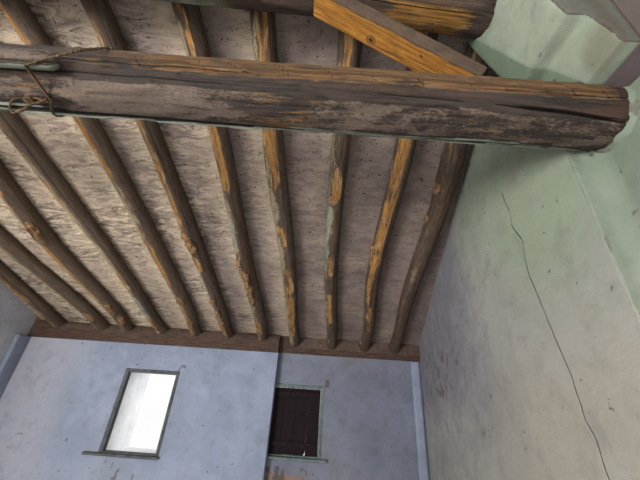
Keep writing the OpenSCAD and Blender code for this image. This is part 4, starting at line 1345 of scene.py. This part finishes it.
def recess():
    """The recess's side and wall round a soft corner, the ledge over it, and the wall above."""
    edge_r, corner_r = 0.0015, 0.068
    turn = np.radians(np.linspace(180, 270, 7))
    edge_out = stack(np.cos(turn), np.sin(turn))
    edge = np.array([REC_X0 + edge_r, REC_Y0 + edge_r]) + edge_r * edge_out
    turn = np.radians(np.linspace(90, 0, 11))
    corner_out = -stack(np.cos(turn), np.sin(turn))
    corner = np.array([REC_X1 - corner_r, REC_Y0 - corner_r]) - corner_r * corner_out
    wall_y = line_with(REC_Y1 + 0.001, REC_Y0 - corner_r, 0.015)[::-1][1:]
    beside = REC_X0 + np.array([0.003, 0.0045, 0.007, 0.012])
    plan = np.concatenate([[[REC_X0 + 0.002, REC_Y0 + 0.010]], edge, stack(beside, REC_Y0), corner,
                           stack(REC_X1, wall_y)])
    plan_out = np.concatenate([[[-1, 0]], edge_out, stack(0 * beside, -1.0), corner_out,
                               stack(-1.0, 0 * wall_y)])
    z = line_with(0.001, REC_Z - 0.001, 0.02)[:, None]
    p = stack(plan[None, :, 0], plan[None, :, 1], z)
    out = stack(plan_out[None, :, 0], plan_out[None, :, 1], 0 * z)
    # A dark line along the recess's edge: painted shade in the crease.
    crease = 1 - ease(p[..., 0], REC_X0 + 0.003, REC_X0 + 0.006)
    crease = crease * (0.62 + 0.25 * ease(wander(p[..., 2] * 11, 0.5, 2.5, 4), -0.1, 0.3))
    # A lighter strip along the recess's edge under the ledge: painted highlight.
    edge_painted_highlight = window(p[..., 2], 2.42, 2.60, 0.04) * (1 - ease(-p[..., 1], 1.567, 1.585))
    lift = 0.0035 + 0.0025 * fbm(p, 4.0, 4, 41.0) + 0.0008 * fbm(p, 30.0, 3, 42.0)
    tint = 0.35 + 0.4 * ease(p[..., 2], 1.7, 2.5) + 0.3 * fbm(p, 1.4, 3, 7.0)
    skin("recess_skin", p, out, lift, recess_side, "lime_plaster", {
        "tint": tint, "peel": 0.10 + 0.2 * fbm(p, 4.0, 4, 6.0), "dark": 0.6 * crease,
        "warm": edge_painted_highlight * (0.3 + fbm(p, 24.0, 4, 2.0))})

    x, y = line_with(REC_X0 - 0.002, REC_X1 + 0.003, 0.012), line_with(REC_Y1 + 0.001, REC_Y0 + 0.004, 0.014)
    p = stack(x[None], y[:, None], REC_Z)
    # The ledge's underside gets the dark plaster, pinker: painted shade.
    lime("recess_ledge", p, (0, 0, -1), 0.002, 43.0, jog_plaster, (0.3, 0.3, 3.0), (0.1, 0.2, 5.0), 0.9)
    y = line_with(REC_Y1 + 0.001, REC_Y0 + 0.006, 0.016)
    z = REC_Z + 0.001 + (slope_z(REC_Y0, -0.01) - REC_Z) * np.linspace(0, 1, 40)
    p = stack(REC_X0, y[None], z[:, None])
    lime("recess_head", p, (-1, 0, 0), 0.002, 45.0, gable_plaster, (0.4, 0.3, 2.0), (0.1, 0.2, 4.0))


def left_face():
    """The left wall's inner face."""
    y = line_with(OPEN_Y + 0.001, LEAF_Y - 0.001, 0.04)
    z = 0.001 + (side_wall_top(y, -0.002) - 0.001) * np.linspace(0, 1, 66)[:, None]
    p = stack(-HALF_W, y, z)
    lime("left_plaster", p, (1, 0, 0), 0.004, 21.0, left_lime, (0.3, 0.3, 1.2), (0.1, 0.25, 3.0))


def jog():
    """The jog's face, open where the recess is, and the right wall beyond it."""
    x = line_with(2.058, HALF_W + 0.004, 0.012, [JOG_X])
    z = line_with(0.001, past_ridge(REC_Y1, 0.004), 0.015, [REC_Z + 0.001])
    p = stack(x[None], REC_Y1, z[:, None])
    # The jog's face and the right wall beyond it get the dark jog plaster: painted shade.
    lime("jog_plaster", p, (0, -1, 0), 0.003, 31.0, jog_plaster, (0.2, 0.3, 2.2), (0.05, 0.2, 5.0),
         drop=lambda q: (q[:, 0] < JOG_X) & (q[:, 2] < REC_Z + 0.001))
    y = line_with(OPEN_Y - 0.002, REC_Y1 + 0.003, 0.012)
    p = stack(HALF_W, y, 0.001 + past_ridge(y, 0.004) * np.linspace(0, 1, 150)[:, None])
    lime("right_return", p, (-1, 0, 0), 0.003, 33.0, jog_plaster, (0.2, 0.3, 2.2), (0.08, 0.25, 5.0), 0.5)


def plaster_collar():
    """Crumbly plaster where the beam goes into the wall."""
    a = np.radians(np.arange(0, 360, 3))[:, None]
    x = np.array([2.126, 2.130, 2.134, 2.139, 2.144, 2.149, 2.155])[None]
    t = np.linspace(0, 1, 7)[None]
    spread = 0.003 + 0.008 * window(np.degrees(a), 225, 330, 20)
    ragged = wander(np.cos(a) * 5, np.sin(a) * 5, 0.7, 6)
    r = BEAM_R * 1.03 - 0.012 + (0.012 + spread * (1 + 1.6 * ragged)) * t**0.7
    r = r + 0.007 * wander(x * 60, np.cos(a) * 9, np.sin(a) * 9) * t
    base = beam_mid(x + 0.016 * ragged) + r[..., None] * on_log(0, a)
    base = np.concatenate([base, base[:1]])
    out = on_log(-0.6, a)
    out = np.broadcast_to(np.concatenate([out, out[:1]]), base.shape)
    skin("beam_collar", base, out, 0.003 + 0.003 * fbm(base, 60.0, 3, 2.0), recess_side, "lime_plaster",
         {"tint": 0.7, "peel": 0.42 + 0.7 * fbm(base, 26.0, 3, 1.0)})


recess()
left_face()
jog()
plaster_collar()


# Masonry shapes that keep their CAD form and get an uneven surface
def remeshed(node, voxel):
    """Points, normals and faces of a finely divided copy of a CAD node."""
    copy = nodes[node].copy()
    copy.data = nodes[node].data.copy()
    bpy.context.collection.objects.link(copy)
    remesh = copy.modifiers.new("remesh", "REMESH")
    remesh.mode = "VOXEL"
    remesh.voxel_size = voxel
    smooth = copy.modifiers.new("smooth", "SMOOTH")
    smooth.iterations = 2
    done = bpy.data.meshes.new_from_object(copy.evaluated_get(bpy.context.evaluated_depsgraph_get()))
    bpy.data.objects.remove(copy)
    points, normals = np.empty((2, len(done.vertices) * 3))
    done.vertices.foreach_get("co", points)
    done.vertex_normals.foreach_get("vector", normals)
    loops = np.empty(len(done.loops), np.int32)
    done.loops.foreach_get("vertex_index", loops)
    totals = np.array([len(f.vertices) for f in done.polygons])
    starts = np.cumsum(totals) - totals
    faces = [loops[starts[totals == n][:, None] + np.arange(n)] for n in (3, 4) if (totals == n).any()]
    return points.reshape(-1, 3), normals.reshape(-1, 3), faces


def weathered(node, voxel, amount, material, tint, seed, bare=None, warm=None):
    """A copy of a CAD node with a hand-made surface. It replaces the node."""
    p, normals, faces = remeshed(node, voxel)
    lift = amount * fbm(p, 5.0, 4, seed) + 0.35 * amount * fbm(p, 26.0, 3, seed + 3)
    p = p + normals * lift[:, None]
    values = {"tint": tint(p), "peel": 0.1 + 0.22 * fbm(p, 6.0, 4, seed + 5)}
    # For the haunch and the pilaster, bare darkens their ends: painted shade.
    if bare:
        values["peel"] = values["peel"] + bare(p)
    if warm:
        values["warm"] = warm(p)
    piece(node + "_surface", p, faces, material, "lime_plaster", [node], values, 35)


def haunch_tint_and_painted_shade(p):
    """The facet towards the far wall is darker and greener: painted shade."""
    edge = -1.632 + (p[:, 2] - 3.067) * 0.276 + 0.004 * fbm(p, 12.0, 3, 4.0)
    return 0.15 + 0.95 * ease(p[:, 1] - edge, -0.006, 0.012) + 0.25 * fbm(p, 5.0, 3, 2.0)


def haunch_end_painted_shade(p):
    """The end towards the open side is dark: painted shade."""
    return 1.2 * ease(-p[:, 1], 1.9035, 1.9065) + 0.05 * fbm(p, 40.0, 2, 1.0)


def haunch_warm(p):
    """A warm strip beside the wall."""
    return 0.9 * window(p[:, 0], 1.975, 2.03, 0.025) * ease(-p[:, 1], 1.78, 1.83)


def pilaster_tint(p):
    """Greener near the beams."""
    return 0.35 + 0.4 * ease(p[:, 2], 1.9, 2.5) + 0.3 * fbm(p, 2.0, 3, 2.0)


def pilaster_end_painted_shade(p):
    """The end towards the open side is darker: painted shade."""
    return 0.9 * (p[:, 1] < -1.901)


def strip_tint(p):
    """Uneven tint of a corner strip."""
    return 0.3 + 0.3 * fbm(p, 2.0, 3, 1.0)


weathered("ridge_haunch", 0.008, 0.004, haunch_plaster, haunch_tint_and_painted_shade, 1.0, haunch_end_painted_shade, haunch_warm)
weathered("gable_pilaster", 0.017, 0.003, gable_plaster, pilaster_tint, 2.0, pilaster_end_painted_shade)
weathered("corner_strip_left", 0.014, 0.002, far_plaster, strip_tint, 3.0)
weathered("corner_strip_right", 0.014, 0.002, far_plaster, strip_tint, 4.0)


# Windows and shutter
def frame_bars(hole, face, seed):
    """The bars of a window frame in its hole, from face outwards: two sides, bottom and top."""
    x0, x1, z0, z1 = hole
    y, f = face + FRAME_D / 2, FRAME_W
    ends = [((x0 + f / 2, y, z0), (x0 + f / 2, y, z1)), ((x1 - f / 2, y, z0), (x1 - f / 2, y, z1)),
            ((x0 + f, y, z0 + f / 2), (x1 - f, y, z0 + f / 2)),
            ((x0 + f, y, z1 - f / 2), (x1 - f, y, z1 - f / 2))]
    return [bar(a, b, (0, 1, 0), f - 0.001, FRAME_D, 0.003, 0.001, 0.011, seed + i)
            for (a, b), i in zip(ends, (0, 1, 5, 6))]


def sill(hole, face, x0, x1, seed):
    """A board in front of a window's lower edge."""
    y, z = face - SILL_D / 2, hole[2] + SILL_T / 2
    return [bar((x0, y, z), (x1, y, z), (0, 0, 1), SILL_D, SILL_T, 0.004, 0.0018, 0.009, seed, ends=0.004)]


bars("window_frame_left_bars", frame_bars(HOLE_L, LEAF_Y - 0.001, 1.0), sill_paint, "frame_paint",
     ["window_frame_left"])
bars("window_frame_right_bars", frame_bars(HOLE_R, WALL_Y - 0.001, 11.0), frame_paint, "frame_paint",
     ["window_frame_right"])
bars("window_sill_left_board", sill(HOLE_L, LEAF_Y, -1.1745, -0.3995, 21.0), sill_paint, "frame_paint",
     ["window_sill_left"])
bars("window_sill_right_board", sill(HOLE_R, WALL_Y, 0.672, 1.290, 23.0), frame_paint, "frame_paint",
     ["window_sill_right"])

(SHUT_X0, SHUT_Y0, SHUT_Z0), (SHUT_X1, SHUT_Y1, SHUT_Z1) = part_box("shutter")
PLANKS = 4
PLANK_W = (SHUT_X1 - SHUT_X0) / PLANKS
RAIL_Z = (SHUT_Z0 + 0.09, SHUT_Z1 - 0.06)


def plank(i):
    """One plank of the shutter. The first has a notch, and the third is chipped at its foot."""
    def notched(u, v, along):
        hole = 0.012 * np.exp(-((along - 0.27) / 0.012)**2) * (i == 0)
        chip = 0.020 * np.exp(-(along / 0.016)**2) * (i == 2)
        edge = (u * (1 if i == 2 else -1) < 0.001) * (np.abs(u) > PLANK_W * 0.4)
        return u - np.sign(u) * (hole + chip) * edge, v, along
    x, y = SHUT_X0 + PLANK_W * (i + 0.5), SHUT_Y1 - 0.011
    low = SHUT_Z0 + 0.001 + 0.002 * math.sin(i * 2.1)
    return bar((x, y, low), (x, y, SHUT_Z1 - 0.002), (0, 1, 0), PLANK_W - 0.0006, 0.020, 0.0015, 0.0008,
               0.010, 31.0 + i, bow=0.002 * math.sin(i * 3.0), ends=0.004, notch=notched)


def rail(i):
    """A rail across the planks."""
    y = SHUT_Y0 + 0.0085
    return bar((SHUT_X0 + 0.008, y, RAIL_Z[i]), (SHUT_X1 - 0.008, y, RAIL_Z[i]), (0, 1, 0), 0.058, 0.015,
               0.003, 0.001, 0.010, 41.0 + i, ends=0.003)


def nails():
    """Two nails through each rail into each plank."""
    parts = []
    rng = np.random.default_rng(5)
    a = np.arange(8) * pi / 4
    for z in RAIL_Z:
        for i in range(2 * PLANKS):
            x = SHUT_X0 + PLANK_W * (i // 2 + 0.28 + 0.44 * (i % 2)) + rng.normal(0, 0.003)
            height = z + rng.normal(0, 0.006)
            parts.append(closed(np.stack([
                stack(x + r * np.cos(a), SHUT_Y0 + 0.0015 + d, height + r * np.sin(a))
                for r, d in ((0.0045, 0.002), (0.0042, -0.0006), (0.0022, -0.0018))])))
    piece("shutter_nails", *join(parts), nail_iron(), "shutter_wood")


def lintel(side, hole, seed):
    """Two rough timbers over a window, on the outside."""
    x0, x1, z = hole[0] - LINTEL_OVER, hole[1] + LINTEL_OVER, hole[3] + LINTEL_H / 2
    parts = [bar((x0, y, z), (x1, y, z), (0, 0, 1), 0.077, 0.108, 0.010, 0.004, 0.02, seed + i,
                 ends=0.006) for i, y in enumerate((OUTER_Y - 0.040, OUTER_Y - 0.120))]
    name = "window_lintel_" + side
    bars(name + "_timbers", parts, lintel_timber, "plate_wood", [name])


bars("shutter_planks", [plank(i) for i in range(PLANKS)], shutter_paint, "shutter_wood", ["shutter"],
     worn=0.3)
bars("shutter_rails", [rail(i) for i in range(2)], shutter_paint, "shutter_wood", worn=0.32)
nails()
lintel("left", HOLE_L, 51.0)
lintel("right", HOLE_R, 55.0)

# Barrel tiles
TILE_COLUMNS, TILE_COURSES = 24, 12


def tile(x, s0, s1, width, crown, n0, up, seed):
    """One curved tile from s0 down to s1: up is 1 for a cover and -1 for a channel."""
    rng = np.random.default_rng(seed)
    t = np.linspace(0, 1, 4)[:, None]
    half = width / 2 * (1 - 0.14 * (1 - t) * up + 0.10 * (1 - t) * (up < 0))
    arc = np.radians(np.linspace(8, 172, 8))[None]
    jitter = rng.normal(0, 0.0025, 3)
    skew = rng.normal(0, 0.006)
    low = n0 + jitter[1] + (0.020 * t if up > 0 else 0.012 * t + crown)
    s = s0 + (s1 - s0) * t + 0.003 * np.sin(arc * 3 + seed)
    layers = []
    for thick in (0.0, 0.013):
        across = x + jitter[0] + skew * (t - 0.5) - (half - thick) * np.cos(arc)
        layers.append(on_slope(across, s, low + up * (crown - thick) * np.sin(arc)))
    return closed(np.concatenate([layers[0], layers[1][:, ::-1]], 1))


def tiles():
    """Columns of covers, and channels between them, from the eave up."""
    pitch = 2 * OUTER_X / TILE_COLUMNS
    low, high = slope_s(EAVE_Y) + 0.02, slope_s(ROOF_END_Y) - 0.02
    step = (high - low) / TILE_COURSES
    base = MAT_T + EARTH_T
    parts, shade = [], []
    rng = np.random.default_rng(3)
    for i in range(TILE_COLUMNS):
        x = -OUTER_X + pitch * i
        for j in range(TILE_COURSES):
            top = min(high, low + step * (j + 1) + 0.05)
            end = low + step * j - (0.03 if j else 0.0)
            parts.append(tile(x + pitch / 2, top, end, 0.176, 0.050, base + 0.006, 1, 1000 + i * 40 + j))
            shade.append(rng.random())
            if i:
                parts.append(tile(x, top, end, 0.150, 0.034, base - 0.004, -1, 3000 + i * 40 + j))
                shade.append(rng.random())
    fired = np.concatenate([np.full(len(verts), tone) for (verts, _), tone in zip(parts, shade)])
    piece("barrel_tiles", *join(parts), fired_clay(), "clay_tile", ["roof_tiles"], {"fired": fired}, 50)


tiles()


# Outside: mud plaster that has fallen off here and there, over courses of adobe
def courses(p, along, seed):
    """Height of a wall face with adobe blocks under worn mud plaster, and its values."""
    rise, length = 0.115, 0.40
    level = p[..., 2] / rise
    row = np.floor(level)
    shift = along / length + 0.5 * (row % 2) + 0.12 * noise(stack(row * 3.1, seed, 0.5))
    u = np.abs((shift % 1) - 0.5) * length
    v = np.abs((level % 1) - 0.5) * rise
    joint = 1 - ease(np.minimum(length / 2 - u, rise / 2 - v), 0.004, 0.016)
    bare = ease(fbm(p, 1.3, 4, seed) + 0.25 * fbm(p, 9.0, 3, seed + 2), 0.05, 0.13)
    block_tone = noise(stack(row * 1.7, np.floor(shift) * 2.3, seed))
    height = 0.014 + 0.004 * fbm(p, 3.0, 4, seed + 5) - bare * (0.007 + 0.006 * joint - 0.002 * block_tone)
    return height, {"bare": bare, "joint": joint * bare}


def far_outside(side, x0, x1, window_hole):
    """The outer face under the eave, round a window and its lintel."""
    left, right, low, top = window_hole
    over = (left - LINTEL_OVER, right + LINTEL_OVER, top, top + LINTEL_H)
    x = line_with(x0, x1, 0.026, [over[0], left, right, over[1]])
    z = line_with(0.001, slope_z(OUTER_Y, -0.128), 0.020, [low, top, over[3]])
    p = stack(x[None], OUTER_Y, z[:, None])
    height, values = courses(p, p[..., 0], 3.0)
    for hole in (over, window_hole):
        height = height * ease(hole_gap(p, *hole), 0.0, 0.02)
    skin("far_mud_" + side, p, (0, 1, 0), height, wall_mud, "adobe", values,
         lambda q: hole_drop(*window_hole)(q) | hole_drop(*over)(q))


def side_outside(side, sign, seed):
    """The outer face of a side wall."""
    y = line_with(OPEN_Y + 0.001, OUTER_Y - 0.001, 0.029)
    top = np.where(y > WALL_Y, slope_z(y, -0.13), side_wall_top(y, -0.002))
    p = stack(sign * (OUTER_X - 0.016), y, 0.001 + (top - 0.001) * np.linspace(0, 1, 130)[:, None])
    height, values = courses(p, p[..., 1], seed)
    skin(side + "_mud", p, (sign, 0, 0), height + 0.010, wall_mud, "adobe", values)


def wall_end(side, x0, x1, seed):
    """The plain end of a side wall at the open side."""
    z = np.linspace(0.001, past_ridge(OPEN_Y, 0.003), 180)
    p = stack(line_with(x0, x1, 0.015)[None], OPEN_Y, z[:, None])
    height, values = courses(p, p[..., 0], seed)
    values["bare"] = np.maximum(values["bare"], 0.7)
    skin(side + "_end", p, (0, -1, 0), height - 0.004, wall_mud, "adobe", values)


MUD_SPLIT = 0.06
far_outside("left", -OUTER_X + 0.001, MUD_SPLIT, HOLE_L)
far_outside("right", MUD_SPLIT, OUTER_X - 0.001, HOLE_R)
side_outside("left", -1, 13.0)
side_outside("right", 1, 17.0)
wall_end("left", -OUTER_X + 0.002, -HALF_W - 0.002, 23.0)
wall_end("right", HALF_W - 0.003, OUTER_X - 0.002, 27.0)

# CAD nodes that stay
for material, slot, names in (
        (adobe_earth, "adobe", ("far_wall_left", "far_wall_right", "left_wall", "right_wall")),
        (far_plaster, "lime_plaster", ("inner_leaf",)),
        (filling_earth, "mud_fill", ("wall_top_fill", "roof_earth")),
        (reed_skin, "ceiling_plaster", ("ceiling_mat",))):
    for name in names:
        nodes[name].data.materials.clear()
        nodes[name].data.materials.append(material)


# Floor, light and camera
def placed(name, data):
    """A new object in the scene."""
    obj = bpy.data.objects.new(name, data)
    bpy.context.collection.objects.link(obj)
    return obj


def pale_floor():
    """The ground under the part, which isn't one of its pieces."""
    mesh = bpy.data.meshes.new("floor")
    mesh.from_pydata([(-40, -40, 0), (40, -40, 0), (40, 40, 0), (-40, 40, 0)], [], [(0, 1, 2, 3)])
    m = Shade("pale_floor", 0.9)
    m.surface.inputs["Base Color"].default_value = linear((253, 253, 253))
    mesh.materials.append(m.material)
    placed("floor", mesh)


def area(name, place, aim, size, watts):
    """A soft lamp at place that shines towards aim."""
    light = bpy.data.lights.new(name, "AREA")
    light.size = size
    light.energy = watts
    obj = placed(name, light)
    ahead = np.array(aim, float) - place
    ahead /= np.linalg.norm(ahead)
    right = np.cross(ahead, [0, 0, 1])
    right /= np.linalg.norm(right)
    turned = np.stack([right, np.cross(right, ahead), -ahead], 1)
    obj.matrix_world = Matrix([[*row, at] for row, at in zip(turned, place)] + [[0, 0, 0, 1]])
    obj.visible_camera = False


def overhead():
    """Even light from above."""
    sun = bpy.data.lights.new("overhead", "SUN")
    sun.energy = 2.2
    sun.angle = 0.9
    placed("overhead", sun).rotation_euler = (math.radians(-32), math.radians(14), 0)


def white_world():
    """White behind the part and in what it mirrors, and dimmer light from all round."""
    world = bpy.data.worlds.new("world")
    scene.world = world
    world.use_nodes = True
    tree = world.node_tree
    background = tree.nodes["Background"]
    background.inputs["Color"].default_value = (1, 1, 1, 1)
    path = tree.nodes.new("ShaderNodeLightPath")
    seen = path.outputs["Is Camera Ray"]
    for other in ("Is Glossy Ray", "Is Transmission Ray"):
        most = tree.nodes.new("ShaderNodeMath")
        most.operation = "MAXIMUM"
        tree.links.new(seen, most.inputs[0])
        tree.links.new(path.outputs[other], most.inputs[1])
        seen = most.outputs[0]
    level = tree.nodes.new("ShaderNodeMapRange")
    level.inputs["To Min"].default_value = 0.4
    level.inputs["To Max"].default_value = 1.0
    tree.links.new(seen, level.inputs["Value"])
    tree.links.new(level.outputs[0], background.inputs["Strength"])


pale_floor()
area("key", (-2.4, -5.4, 0.6), (0.2, 0.2, 2.5), 2.0, 490)
area("fill", (2.2, -5.2, 2.6), (0.2, 0.3, 1.9), 3.0, 60)
area("window_side", (3.5, 4.3, 2.2), (-0.7, 1.6, 1.4), 2.0, 150)
overhead()
white_world()
scene.view_settings.view_transform = "Standard"

camera = placed("camera", bpy.data.cameras.new("camera"))
camera.data.lens = 16.875
camera.data.sensor_width = 36
camera.matrix_world = Matrix(((0.99810, -0.05337, 0.03081, 1.195), (0.00209, -0.47048, -0.88241, -2.4),
                              (0.06159, 0.88080, -0.46947, 1.6), (0, 0, 0, 1)))
scene.camera = camera
